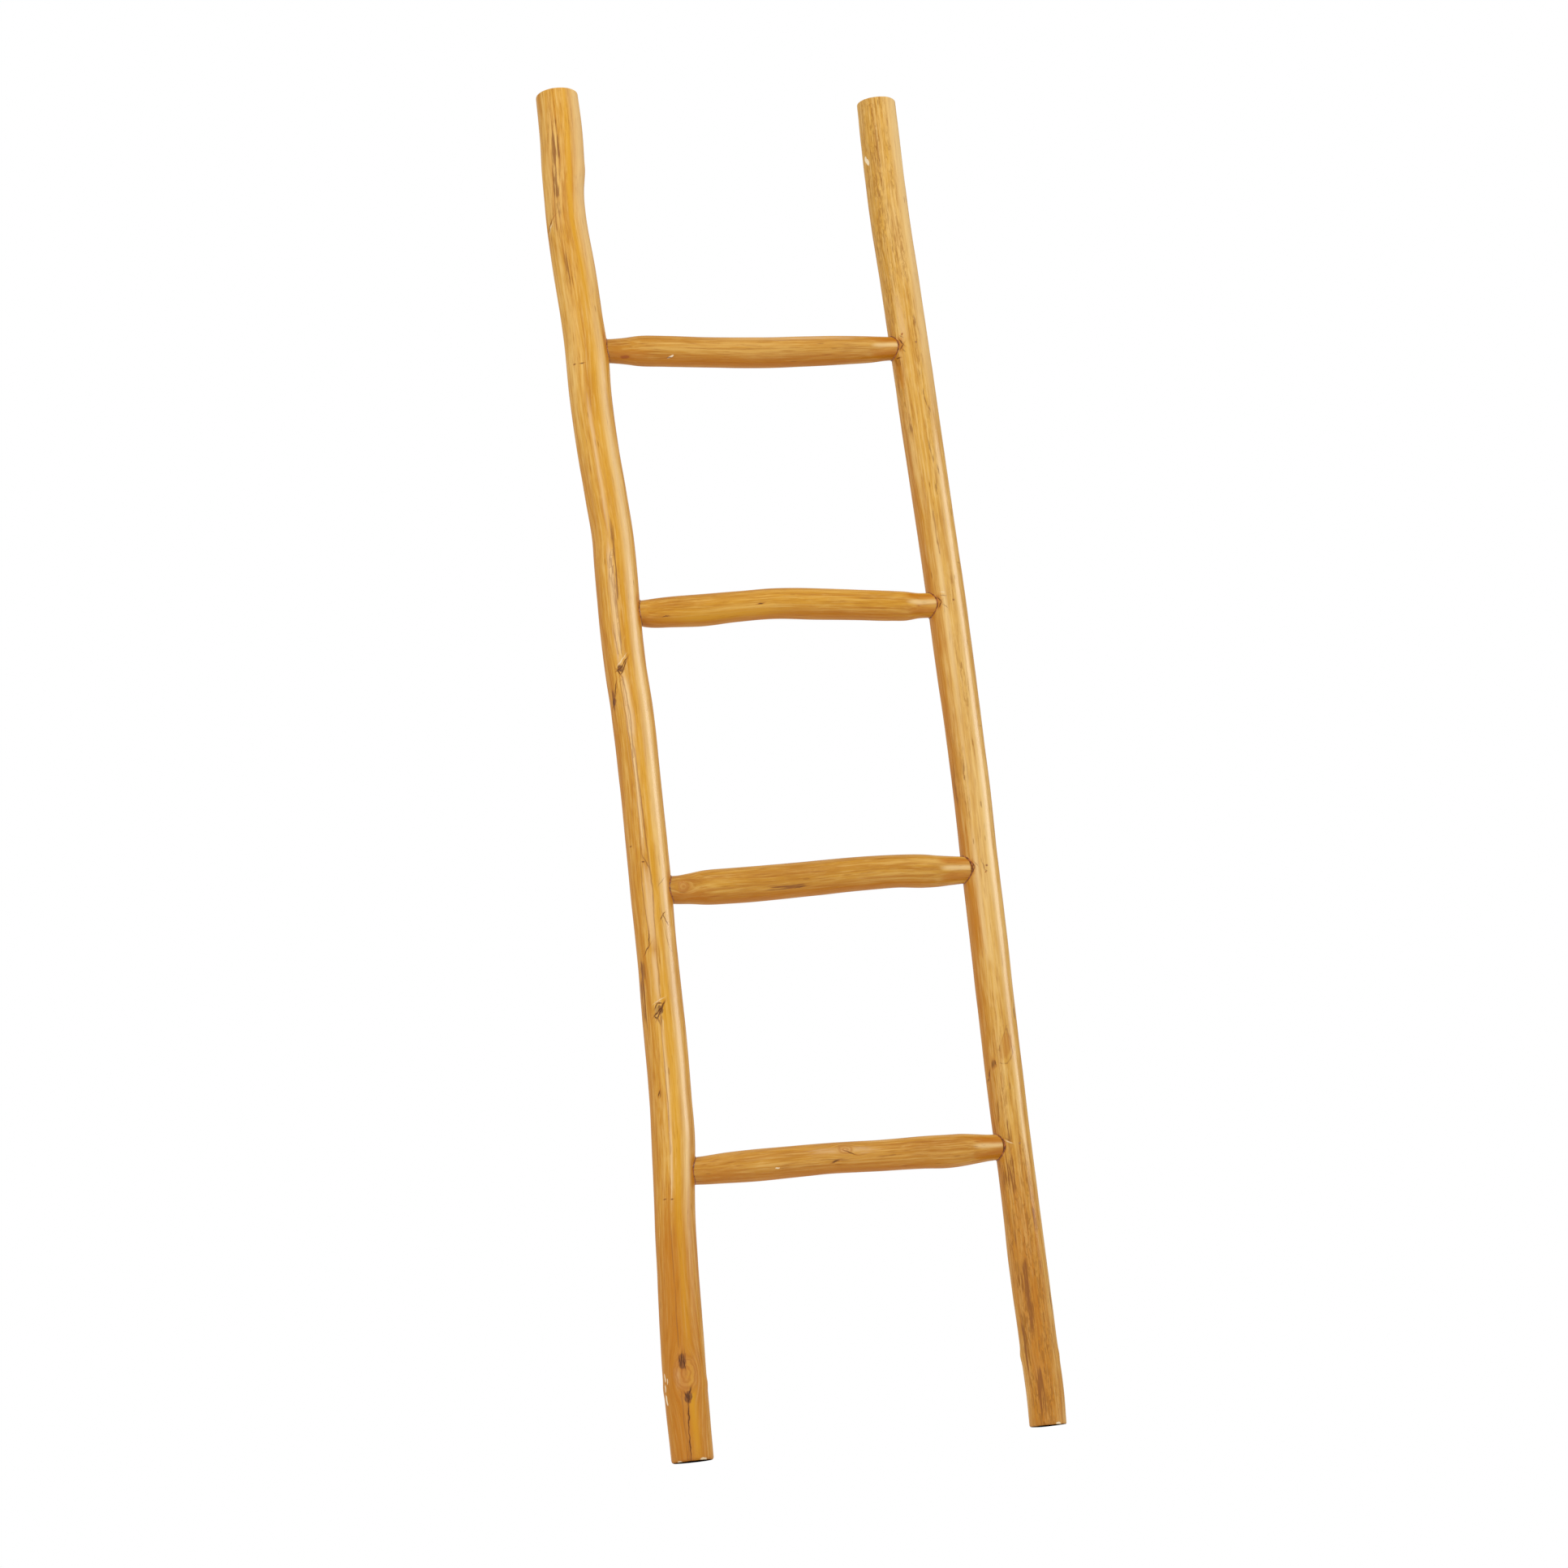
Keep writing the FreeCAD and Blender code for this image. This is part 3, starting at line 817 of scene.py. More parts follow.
@dataclass(frozen=True)
class Lumpy:
    """A finish of two colours in fine lumps, which also raise its surface."""

    name: str
    light: str
    dark: str
    pitch: float          # lumps in a metre
    detail: float
    low: float
    high: float
    bump_strength: float
    bump_depth: float
    roughness: float
    ior: float

    def material(self) -> Material:
        """Builds the finish.

        Returns:
            The material.
        """
        paint = Paint(self.name, linear(self.light))
        place = paint.node("ShaderNodeTexCoord", out=3)
        lumps = paint.node("ShaderNodeTexNoise", {"Vector": place, "Scale": self.pitch,
                                                  "Detail": self.detail})
        paint.lay(self.dark, paint.ramp(lumps, self.low, self.high, kind="LINEAR"))
        bump = paint.bump(self.bump_strength, self.bump_depth, lumps)
        return paint.finish({"Roughness": self.roughness, "IOR": self.ior, "Normal": bump})


# Wood glue that squeezed out and was lacquered over: to the eye dark amber, lumpy and glossy.
HARD_GLUE = Lumpy("hardened_wood_glue", "#A8602A", "#5E2C12", 260.0, 3.0, 0.38, 0.64, 0.5, 0.5, 0.22, 1.48)
# Wood filler rubbed flush over a nail: to the eye a matt brown dot, a little gritty.
WOOD_FILLER = Lumpy("brown_wood_filler", "#B27C38", "#8C5A26", 1400.0, 2.0, 0.4, 0.65, 0.4, 0.2, 0.5, 1.5)


@dataclass(frozen=True)
class NailSteel:
    """Drawn bright steel wire: grey, with fine scratches along the shank."""

    name: str = "drawn_steel_wire"
    body: str = "#A9A7A2"
    scratch: str = "#77746E"
    pitch: tuple[float, float, float] = (3000.0, 90.0, 3000.0)

    def material(self) -> Material:
        """Builds the finish.

        Returns:
            The material.
        """
        paint = Paint(self.name, linear(self.body))
        place = paint.node("ShaderNodeTexCoord", out=3)
        drawn = paint.node("ShaderNodeMapping", {"Vector": place, "Scale": self.pitch})
        lines = paint.node("ShaderNodeTexNoise", {"Vector": drawn, "Scale": 1.0, "Detail": 2.0})
        paint.lay(self.scratch, lines)
        return paint.finish({"Metallic": 1.0, "Roughness": paint.ramp(lines, 0.0, 1.0, 0.28, 0.45, "LINEAR")})


@dataclass
class Branch:
    """One branch of the ladder: its run, its thickness, what grew or happened on it, and the shade and
    highlight painted on it.
    """

    name: str
    node: str
    slot: str
    run: Run
    stations: tuple[Station, ...]
    finish: LacqueredTeak
    swellings: tuple[Swelling, ...] = ()
    stains_and_light: tuple[StainAndPaintedLight, ...] = ()
    scars: tuple[Scar | Line, ...] = ()
    veins: tuple[Vein, ...] = ()
    edges: tuple[float, float] = (3.0, 3.0)
    sides: int = 96
    step: float = 2.6
    facet_depth: float = 0.45
    facet_length: float = 70.0
    facet_stretch: float = 2.6     # how many times longer than wide a facet is
    edge_rings: int = 7            # rings in each rounded sawn edge
    collar_at: float = 1.5         # a swelling's collar: where it is and how wide, in its half sizes
    collar_width: float = 0.45
    knot_size: float = 0.45        # a knot for the fibres to flow round: its share of the mark's length
    knot_squash: float = 0.55      # and width together, and how much shorter it is along the grain
    vein_reach: float = 2.6        # millimetres from a long line to where its strength falls away
    seed_step: float = 2000.0      # millimetres of grain between one branch and the next
    seed: int = 1
    piece: Object = field(init=False)

    @property
    def ends(self) -> tuple[float, float]:
        """Where the branch starts and stops along its run."""
        return self.stations[0].along, self.stations[-1].along

    @property
    def mean_radius(self) -> float:
        """The branch's mean radius."""
        return float(np.mean(self.table("thickness"))) / 2

    def table(self, name: str) -> list[float]:
        """One measure of every station."""
        return [getattr(s, name) for s in self.stations]

    def heart(self, along: np.ndarray) -> np.ndarray:
        """Across and depth of the branch's heart line at places along it."""
        where = self.table("along")
        return np.stack([flowing(where, self.table(n), along) for n in ("across", "depth")], -1)

    def radius(self, along: np.ndarray) -> np.ndarray:
        """The branch's radius at places along it, without its end rounding."""
        return flowing(self.table("along"), self.table("thickness"), along) / 2

    def rings(self) -> tuple[np.ndarray, np.ndarray]:
        """Works out where the rings of the skin lie.

        Returns:
            The places along the branch, and the radius at each, drawn in towards the sawn ends.
        """
        low, high = self.ends
        rise = 1 - np.cos(np.linspace(0.0, 1.0, self.edge_rings) * math.pi / 2)
        start, stop = low + self.edges[0] * rise, high - self.edges[1] * rise[::-1]
        count = max(2, int((stop[0] - start[-1]) / self.step))
        middle = np.linspace(start[-1], stop[0], count + 1)[1:-1]
        along = np.concatenate((start, middle, stop))
        drawn = np.zeros_like(along)
        for edge, gap in ((self.edges[0], along - low), (self.edges[1], high - along)):
            inner = np.clip(edge - gap, 0.0, edge)
            drawn += edge - np.sqrt(np.maximum(edge * edge - inner * inner, 0.0))
        return along, self.radius(along) - drawn

    def place(self, across: np.ndarray, depth: np.ndarray, along: np.ndarray) -> np.ndarray:
        """Turns a branch's own measures in millimetres into points of the frame in metres."""
        points = np.empty(across.shape + (3,))
        for axis, value in zip(self.run.value, (across, depth, along)):
            points[..., axis] = value * MM
        return points

    def skin_tree(self, material: Material) -> NodeTree:
        """The tree that sweeps a ring along the heart line and leaves shallow knife facets.

        Args:
            material: The finish of the wood.

        Returns:
            The finished tree.
        """
        nodes = NodeTree(f"peeled_{self.name}",
                         {"Sides": self.sides, "Facet depth": self.facet_depth * MM,
                          "Facet length": self.facet_length * MM, "Seed": float(self.seed)})
        tree, own = nodes.tree, nodes.own
        girth = add(tree, "GeometryNodeInputNamedAttribute", {"Name": "girth"}, data_type="FLOAT")
        skin = nodes.swept(girth, True)
        spot = add(tree, "GeometryNodeInputPosition")
        stretch = [self.facet_stretch] * 3
        stretch[self.run.value[2]] = 1.0
        drawn = add(tree, "ShaderNodeVectorMath", {0: spot, 1: stretch}, operation="MULTIPLY")
        pitch = maths(tree, "DIVIDE", 1.0, own["Facet length"])
        lumps = add(tree, "ShaderNodeTexNoise", {"Vector": drawn, "W": own["Seed"],
                                                 "Scale": pitch, "Detail": 1.5}, noise_dimensions="4D")
        centred = maths(tree, "SUBTRACT", lumps, 0.5)
        depth = maths(tree, "MULTIPLY", own["Facet depth"], 3.0)
        push = maths(tree, "MULTIPLY", centred, depth)
        outward = add(tree, "GeometryNodeInputNormal")
        shift = add(tree, "ShaderNodeVectorMath", {0: outward, "Scale": push}, operation="SCALE")
        shaved = add(tree, "GeometryNodeSetPosition", {"Geometry": skin, "Offset": shift})
        nodes.finish(shaved, material)
        return nodes

    def build(self) -> Object:
        """Builds the branch: swept skin, then bumps and hollows, then the grain that the finish follows.

        Returns:
            The piece.
        """
        along, radius = self.rings()
        heart = self.heart(along)
        points = self.place(heart[:, 0], heart[:, 1], along)
        guide = guide_object(f"{self.name}_heart", points, False, {"girth": radius * MM})
        wood = self.finish.material(self.scars, self.mean_radius)
        self.piece = self.skin_tree(wood).apply(guide, self.name)
        mesh = self.piece.data
        if "girth" in mesh.attributes:
            mesh.attributes.remove(mesh.attributes["girth"])
        self.sculpt(mesh)
        mesh.materials.append(SawnTeak().material())
        for face in mesh.polygons:
            if len(face.vertices) > 4:
                face.material_index = 1
                face.use_smooth = False
        outward(mesh)
        return self.piece

    def sculpt(self, mesh: Mesh) -> None:
        """Presses the bumps and hollows in, and stores the grain, the long lines and the soft tints, painted
        shade and highlight among them.

        Args:
            mesh: The swept skin.
        """
        co = np.empty(len(mesh.vertices) * 3, np.float32)
        mesh.vertices.foreach_get("co", co)
        points = co.reshape(-1, 3).astype(float) / MM
        across, depth, along = (points[:, axis] for axis in self.run.value)
        along = np.clip(along, *self.ends)
        heart = self.heart(along)
        u, v = across - heart[:, 0], depth - heart[:, 1]
        reach = np.hypot(u, v)
        angle = np.arctan2(u, -v)

        def spread(item: Swelling | StainAndPaintedLight) -> tuple[np.ndarray, np.ndarray]:
            """How far each point is from an item, along and round the branch, in its own half sizes."""
            return (along - item.along) / item.length, turned(angle, item.angle) * reach / item.width

        change = np.zeros_like(reach)
        for item in self.swellings:
            far = np.hypot(*spread(item))
            change += item.height * np.exp(-far ** 2)
            change += item.collar * np.exp(-((far - self.collar_at) / self.collar_width) ** 2)
        grown = np.where(reach > 0.5, (reach + change) / np.maximum(reach, 0.5), 1.0)
        placed = self.place(heart[:, 0] + u * grown, heart[:, 1] + v * grown, along)
        mesh.vertices.foreach_set("co", placed.astype(np.float32).ravel())

        bend = np.zeros_like(angle)
        for scar in (s for s in self.scars if s.mark is Mark.KNOT):
            round_, up = turned(angle, scar.angle) * reach, along - scar.along
            size = (scar.length + scar.width) * self.knot_size
            away = np.maximum(round_ ** 2 + (up * self.knot_squash) ** 2, size ** 2)
            bend -= round_ * size ** 2 / away / np.maximum(reach, 1.0)
        flow = angle + bend
        grain = np.stack((u, v, along), -1)
        fibre = np.stack((reach * np.sin(flow), -reach * np.cos(flow), along), -1)
        fibre += np.array([0.0, 0.0, self.seed_step]) * self.seed
        store(mesh, "grain", grain)
        store(mesh, "fibre", fibre)
        for mark in (Mark.HAIR, Mark.PALE):
            gap, strength = np.full(reach.shape, FAR), np.zeros_like(reach)
            for vein in (v for v in self.veins if v.mark is mark):
                distance, past = vein.offsets(along, angle, self.mean_radius)
                closer = np.abs(distance) < np.abs(gap)
                shown = np.exp(-(distance / self.vein_reach) ** 4 - (past / vein.fade) ** 2)
                gap = np.where(closer, distance / vein.width, gap)
                strength = np.where(closer, shown, strength)
            line = np.stack((np.clip(gap, -20.0, 20.0), strength, np.zeros_like(gap)), -1)
            store(mesh, f"{mark.value}_line", line)
        for tone in Tone:
            share = np.zeros_like(reach)
            for item in (s for s in self.stains_and_light if s.tone is tone):
                lengthwise, sideways = spread(item)
                share = np.maximum(share, item.strength * np.exp(-lengthwise ** 4 - sideways ** 2))
            store(mesh, tone.value, share)

    def dress(self) -> None:
        """Hangs the branch on the frame and says what it stands for."""
        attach(self.piece, BODY)
        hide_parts(self.node)
        LOG.info("%s: %d faces, finish %s", self.name, len(self.piece.data.polygons), self.finish.name)

    def tree(self) -> BVHTree:
        """The branch's skin, for finding where others meet it."""
        mesh = self.piece.data
        return BVHTree.FromPolygons([v.co for v in mesh.vertices], [p.vertices for p in mesh.polygons])


def rows(kind: type, *values: tuple) -> tuple:
    """Makes one record of a kind from each row of a table."""
    return tuple(kind(*row) for row in values)


def grouped(kind: type, groups: dict[Enum, tuple]) -> tuple:
    """Makes one record of a kind from each row of a table that is sorted by tone or by mark."""
    return tuple(kind(key, *row) for key, group in groups.items() for row in group)


POLE_STATIONS = {
    Side.LEFT: rows(
        Station, (0, -236.5, 0, 52), (60, -235.8, 1.2, 53.7), (100, -235.4, 1.5, 53.9),
        (160, -233.3, 0.8, 53.5), (230, -230.6, -0.5, 51.8), (300, -227.2, -1.5, 50.9),
        (356, -221.9, 0, 53), (400, -218, 1.2, 54.8), (450, -215.4, 2.5, 53.4), (530, -213.6, 4, 53.6),
        (640, -213.2, 2, 51.8), (715, -213.2, 0, 53), (860, -213.4, -4, 53), (950, -214.6, -4.8, 54.1),
        (1020, -216.9, -2.5, 54.1), (1081, -216.1, 0, 55), (1150, -214.3, 2, 54.9),
        (1185, -213.6, 3.2, 53.9), (1240, -216.4, 4, 54.6), (1330, -222.3, 3, 54.3),
        (1380, -223.9, 1.5, 55.1), (1440, -223.4, 0, 56.2), (1494, -226, -1.2, 55.1),
        (1550, -229.3, -3, 55.7), (1620, -233.7, -4.4, 53.2), (1645, -233.3, -4, 52.8),
        (1685, -230.7, -2.8, 56.4), (1740, -227.9, -1.8, 57.1), (1800, -227.7, -0.5, 55.8)),
    Side.RIGHT: rows(
        Station, (0, 233.5, 0, 47), (40, 234.9, -0.5, 48), (100, 233.8, -1.5, 48), (200, 232.7, -2, 48.7),
        (305, 233.5, -1, 47.2), (380, 233.6, 0.3, 47.9), (470, 234.5, 2, 49), (540, 235.5, 3, 48.3),
        (620, 236.3, 2, 49.3), (722, 236.3, 0, 48.7), (830, 238.6, 1.5, 49.6), (900, 238.7, 2, 49.5),
        (990, 237.3, 1, 51.2), (1082, 236.2, 0, 51.5), (1210, 232.3, -3, 51.5), (1310, 229.9, -3.5, 52.5),
        (1443, 228.7, 0, 52.9), (1550, 227.3, 3, 53), (1640, 225.4, 4.5, 53.6), (1700, 225, 4, 53.6),
        (1800, 224.9, 1, 52.5)),
}

POLE_SWELLINGS = {
    Side.LEFT: rows(
        Swelling, (102, -11, 0.9, 16, 15, 0.35), (102, -11, -1.2, 5, 4), (75, -10, -1.6, 8, 2.6),
        (557, -30.5, -1.8, 7, 3, 0.5), (1001, -30, -1.9, 6, 3.4, 0.5), (960, -70, -1.0, 8, 2),
        (605, -77, -1.2, 6, 4, 0.3), (1606, -80, -1.0, 6, 3), (93, 57, 1.3, 7, 7),
        (865, -20, -0.7, 110, 3.2), (1040, -30, -0.6, 45, 3), (677, 11, -0.7, 9, 2), (90, -106, 0.8, 9, 6),
        (79, -79, 0.8, 8, 5), (1665, 60, -1.0, 14, 12), (1690, 62, 1.0, 12, 12)),
    Side.RIGHT: rows(
        Swelling, (90.5, -111, 1.2, 8, 7), (88, 53, 1.0, 8, 7), (475, -7, 0.5, 14, 9),
        (461, -49, 0.5, 10, 8), (446, -80, -0.8, 8, 2), (1712, -70, -0.9, 7, 4)),
}

POLE_STAINS_AND_LIGHT = {
    Side.LEFT: grouped(StainAndPaintedLight, {
        # Amber rows: the long ones at -88 and -62 degrees paint shade down the left side, and the one at 75
        # degrees paints shade along the right edge; the others deepen the wood's tint in streaks, at the foot
        # and near the joints.
        Tone.AMBER: ((700, -88, 640, 15, 0.7), (560, -62, 420, 10, 0.45), (1672, 10, 42, 1.8, 1.0),
            (1650, -48, 60, 2.5, 0.6), (118, -4, 22, 10, 1.3), (55, -22, 60, 12, 1.2),
            (110, -30, 210, 40, 1.1), (180, -45, 130, 12, 0.9), (900, 75, 900, 8, 0.5),
            (1440, 51, 22, 6, 1.1), (1080, 50, 24, 6, 1.1), (712, 49, 26, 6, 1.1), (354, 50, 22, 6, 1.1),
            (1660, -15, 170, 40, 0.26)),
        # Cream rows: painted highlight, a pale streak at 23 to 38 degrees where the side lamp shines in the
        # lacquer.
        Tone.CREAM: ((1680, 38, 160, 13, 0.9), (1100, 23, 420, 8, 0.9), (520, 23, 330, 7, 0.8)),
        Tone.GOLD: ((1350, 1, 170, 6.5, 0.6), (1080, -1, 130, 4.5, 0.7), (800, -3, 200, 4, 0.6),
            (430, -4, 190, 6, 0.9), (215, -2, 90, 6, 0.6), (1680, 2, 130, 4.2, 1.1), (1545, 4, 70, 5, 0.8),
            (60, 0, 70, 6, 0.8)),
        Tone.VIOLET: ((1718, -31, 21, 4.0, 1.0), (1661, -36, 14, 3.4, 1.0), (1690, -34, 42, 5.0, 0.5),
            (1738, -28, 16, 2.6, 0.6), (1545, -35, 24, 3, 0.25), (1628, -31, 12, 4, 0.3),
            (570, -76, 30, 5, 1.0), (610, -70, 12, 4, 0.8), (525, -80, 14, 4, 0.6), (962, -68, 12, 4, 0.7),
            (1110, -17, 90, 1.6, 0.5)),
        Tone.SILVER: ((1270, -25, 100, 3, 0.7), (1090, -29, 80, 5, 1.0), (950, -25, 44, 5, 1.0),
            (840, -26, 80, 2.4, 1.0), (690, -25, 52, 5.5, 0.8), (600, -26, 34, 4, 0.8),
            (430, -22, 120, 2.2, 0.9), (100, -34, 14, 4, 0.5)),
        Tone.MOTTLE: ((1760, -30, 60, 26, 0.35), (1600, -40, 90, 20, 0.35))}),
    Side.RIGHT: grouped(StainAndPaintedLight, {
        # Cream rows: painted highlights, the streaks at 17 to 35 degrees and the fainter ones at -27 to -33
        # degrees; the wide faint row at -10 degrees pales the middle.
        Tone.CREAM: ((1600, 35, 260, 12, 0.8), (1080, 18, 260, 6, 0.8), (760, 18, 260, 6, 1.0),
            (430, 17, 110, 5, 0.6), (1060, -27, 140, 4, 1.0), (690, -33, 90, 4, 1.1),
            (860, -31, 90, 3, 0.7), (850, -10, 370, 26, 0.3)),
        Tone.MOTTLE: ((1670, -42, 200, 24, 0.75), (1650, -4, 180, 7, 0.8), (1400, 3, 200, 7, 0.45),
            (1000, -3, 140, 8, 0.5), (830, -38, 60, 5, 0.6), (780, 46, 60, 6, 0.7), (860, -74, 60, 10, 0.6),
            (1680, 160, 220, 30, 0.8), (160, -30, 200, 24, 1.2), (200, 5, 180, 10, 0.9),
            (400, -40, 150, 22, 0.5), (220, 170, 260, 30, 0.8), (1290, 0, 18, 5, 0.7),
            (1520, -70, 260, 14, 0.7), (1240, -3, 16, 3, 0.6)),
        Tone.VIOLET: ((1650, -30, 100, 8, 0.2), (165, -31, 44, 4, 0.65), (42, -31, 28, 4.0, 0.7),
            (187, -50, 20, 3.6, 0.65), (100, -64, 30, 4, 0.6), (255, -48, 26, 3, 0.45),
            (262, 15, 14, 2.5, 0.3), (108, 23, 9, 3, 0.45), (138, 45, 44, 4, 0.4), (342, 25, 18, 3, 0.45),
            (375, -26, 14, 3, 0.45), (402, -55, 16, 4, 0.55), (320, -40, 26, 5, 0.5),
            (320, -62, 16, 5, 0.4), (527, 45, 7, 3, 0.7), (1323, -57, 7, 4, 0.45), (1419, -62, 6, 5, 0.5),
            (836, -76, 26, 4, 0.4)),
        # Amber rows: the long ones at -84 and 74 degrees paint shade down the left side and along the right
        # edge; the others deepen the wood's tint round the joints and at the foot.
        Tone.AMBER: ((790, -84, 640, 17, 0.9), (655, -66, 60, 12, 1.1), (1035, -68, 34, 11, 0.9),
            (1405, -66, 30, 10, 0.8), (760, -68, 40, 10, 0.8), (330, -66, 24, 9, 0.8),
            (1443, -47, 11, 4, 1.2), (1082, -46, 11, 4, 1.2), (722, -47, 11, 4, 1.2),
            (357, -50, 10, 4, 1.2), (110, -32, 250, 34, 0.85), (900, 74, 900, 8, 0.5)),
        Tone.SILVER: ((1480, -35, 40, 6, 0.6),)}),
}

POLE_SCARS = {
    Side.LEFT: grouped(Scar, {
        Mark.KNOT: ((104, -12, 20, 12),),
        Mark.GOUGE: ((1001, -31, 5, 5.5, 50), (558, -27, 6, 6, 50), (78, -11, 7, 4.5, 10), (121, -20, 9, 4),
            (960, -68, 7, 4, 40)),
        Mark.CRACK: ((1415.5, -54, 0.7, 1.6), (1415.5, -31.5, 0.7, 3.2), (748, -31, 0.8, 1.6),
            (771, -66, 0.8, 1.8), (321, -43, 0.7, 1.8), (320, -23.5, 0.8, 1.4)),
        Mark.CHIP: ((104, -79, 6, 1.5, -10), (91, -81, 5, 1.5), (77, -78, 7, 2, -8), (99, -68, 4, 0.9, 8),
            (1, 18, 2, 5), (0.5, -57, 1.5, 4)),
        Mark.RUST: ((338, 73, 8, 4),)}) + grouped(Line, {
        Mark.CRACK: ((0.8, ((1014, -9), (1006, -22), (1001, -34), (999, -43))),
            (0.7, ((1000, -42), (993, -33), (1001, -22), (1010, -11))),
            (0.7, ((983, -50), (965, -61), (953, -79))), (0.6, ((658, -34), (641, -37), (632, -52))),
            (0.5, ((673, 3), (678, 11), (681, 17))), (0.5, ((679, 12), (672, 18), (667, 24))),
            (1.0, ((568, -9), (561, -19), (556, -30), (551, -41))),
            (0.8, ((551, -40), (547, -33), (554, -25), (564, -13))),
            (0.7, ((561, -37), (567, -29), (566, -18))), (0.8, ((456, -45), (451, -50))),
            (0.8, ((131, -20), (114, -22))), (0.7, ((128, -15), (112, -14))),
            (0.7, ((127, -27), (115, -24))), (0.7, ((122, -18), (111, -12))),
            (1.1, ((88, -2), (80, -9), (71, -12))), (1.0, ((83, -20), (75, -14), (70, -12))),
            (1.6, ((82, -13), (74, -11))), (0.8, ((70, -13), (36, -18))), (0.6, ((36, -18), (3, -20))),
            (0.8, ((1604, -86), (1616, -60)))),
        Mark.PALE: ((0.7, ((1018, -13), (1006, -36))), (0.7, ((573, -12), (567, -38))),
            (1.0, ((1601, -84), (1611, -62)))),
        Mark.HAIR: ((0.8, ((756, -30), (738, -15))), (0.9, ((970, -62), (961, -74))),
            (0.9, ((955, -62), (962, -70))), (0.5, ((716, 8), (726, 27))), (1.0, ((550, -32), (540, -27))),
            (0.9, ((553, -21), (541, -23))), (0.8, ((455, -42), (448, -46))),
            (0.8, ((134, -12), (116, -10))))}),
    Side.RIGHT: grouped(Scar, {
        Mark.CHIP: ((1712, -74, 8, 2.8, -28), (1716, -79, 4, 2.6), (0.5, 14.5, 2, 4)),
        Mark.PATCH: ((485, -4, 20, 8, 18), (475, -18, 10, 4, 12), (462, -50, 6, 5)),
        Mark.CRACK: ((1425, -61, 0.9, 3.4),),
        Mark.RUST: ((1456, -38, 2.2, 1.4, 30), (713, -5, 1.6, 1.0, 60)),
        Mark.HAIR: ((1238, -2, 10, 1.1, 5), (1294, -5, 11, 1.1, -4), (1277, 1, 6, 1.3, 4),
            (1134.5, 43, 0.8, 4.0), (911, 43, 0.8, 3.4))}) + grouped(Line, {
        Mark.CRACK: ((0.7, ((1449, -49), (1442, -38))), (0.7, ((1436, -50), (1442, -38))),
            (0.7, ((1088, -47), (1082, -37))), (0.7, ((1075, -47), (1081, -37))),
            (0.7, ((728, -46), (722, -39))), (0.7, ((715, -46), (721, -39))),
            (0.8, ((467, -54), (459, -56))), (0.8, ((467, -48), (459, -50))),
            (0.7, ((466, -44), (461, -43))), (0.8, ((443, -84), (447, -76), (455, -68)))),
        Mark.HAIR: ((0.7, ((1455, -46), (1451, -36))), (0.9, ((1436, -43), (1431, -35))),
            (0.7, ((1090, -36), (1089, -22))), (0.6, ((1078, -35), (1072, -21))),
            (0.6, ((728, -38), (722, -28))), (0.7, ((366, -42), (361, -26))),
            (0.8, ((1403, -6), (1394, -4))), (1.0, ((1375, 2), (1366, 0), (1352, 6))),
            (1.1, ((1352, 12), (1344, 14))), (1.0, ((1480, 5), (1468, 7))), (1.0, ((1268, 12), (1256, 14))),
            (0.9, ((860, -36), (846, -40), (838, -38))), (1.0, ((808, 2), (800, 4))),
            (0.9, ((725, -12), (716, -8), (714, 0))), (1.1, ((540, 46), (522, 44)))),
        Mark.PALE: ((0.8, ((363, -42), (358, -24))), (0.7, ((1094, -36), (1093, -24))))}),
}

POLE_VEINS = {
    Side.LEFT: grouped(Vein, {
        Mark.HAIR: (
            (0.9, ((1018, -14), (1030, -17), (1060, -20), (1100, -22), (1135, -21), (1165, -17),
                (1192, -12))),
            (0.7, ((1020, -32), (1035, -34), (1070, -38), (1110, -37), (1140, -33), (1158, -26))),
            (0.6, ((1020, -22), (1040, -24), (1080, -27), (1120, -28), (1150, -24))),
            (0.9, ((990, -30), (970, -26), (940, -24), (910, -25), (880, -22), (850, -20), (820, -20),
                (790, -19), (765, -16), (740, -13), (710, -12), (680, -14), (640, -16), (600, -18),
                (575, -19))),
            (0.6, ((985, -38), (950, -36), (915, -34), (890, -31), (850, -30), (810, -30), (770, -32),
                (740, -38), (700, -40), (670, -36), (655, -34))),
            (0.6, ((672, 8), (655, 14), (640, 20), (632, 30))),
            (0.7, ((545, -24), (500, -25), (450, -24), (400, -25), (350, -27), (300, -28), (240, -28),
                (180, -27), (138, -26))), (0.7, ((402, -27), (385, -23), (360, -25), (330, -28))),
            (1.1, ((72, -13), (50, -18), (30, -19), (12, -20), (1, -19))),
            (0.8, ((84, -27), (60, -28), (35, -28), (1, -30))),
            (0.8, ((1640, -62), (1624, -64), (1612, -68))), (0.7, ((1690, -42), (1640, -44), (1600, -47)))),
        Mark.PALE: ((1.0, ((1020, -26), (1050, -28), (1090, -31), (1130, -29), (1160, -22))),
            (1.1, ((985, -24), (960, -22), (930, -28), (900, -27), (860, -26), (820, -26), (780, -26))),
            (0.9, ((545, -19), (500, -21), (450, -20), (400, -22), (350, -23), (305, -25))))}),
    Side.RIGHT: grouped(Vein, {
        Mark.HAIR: ((0.9, ((462, -27), (461, -10), (466, 3), (474, 14), (490, 11), (510, 4))),
            (0.6, ((480, -28), (494, -14), (510, 4))), (0.7, ((1205, -22), (1175, -23), (1146, -22))))}),
}

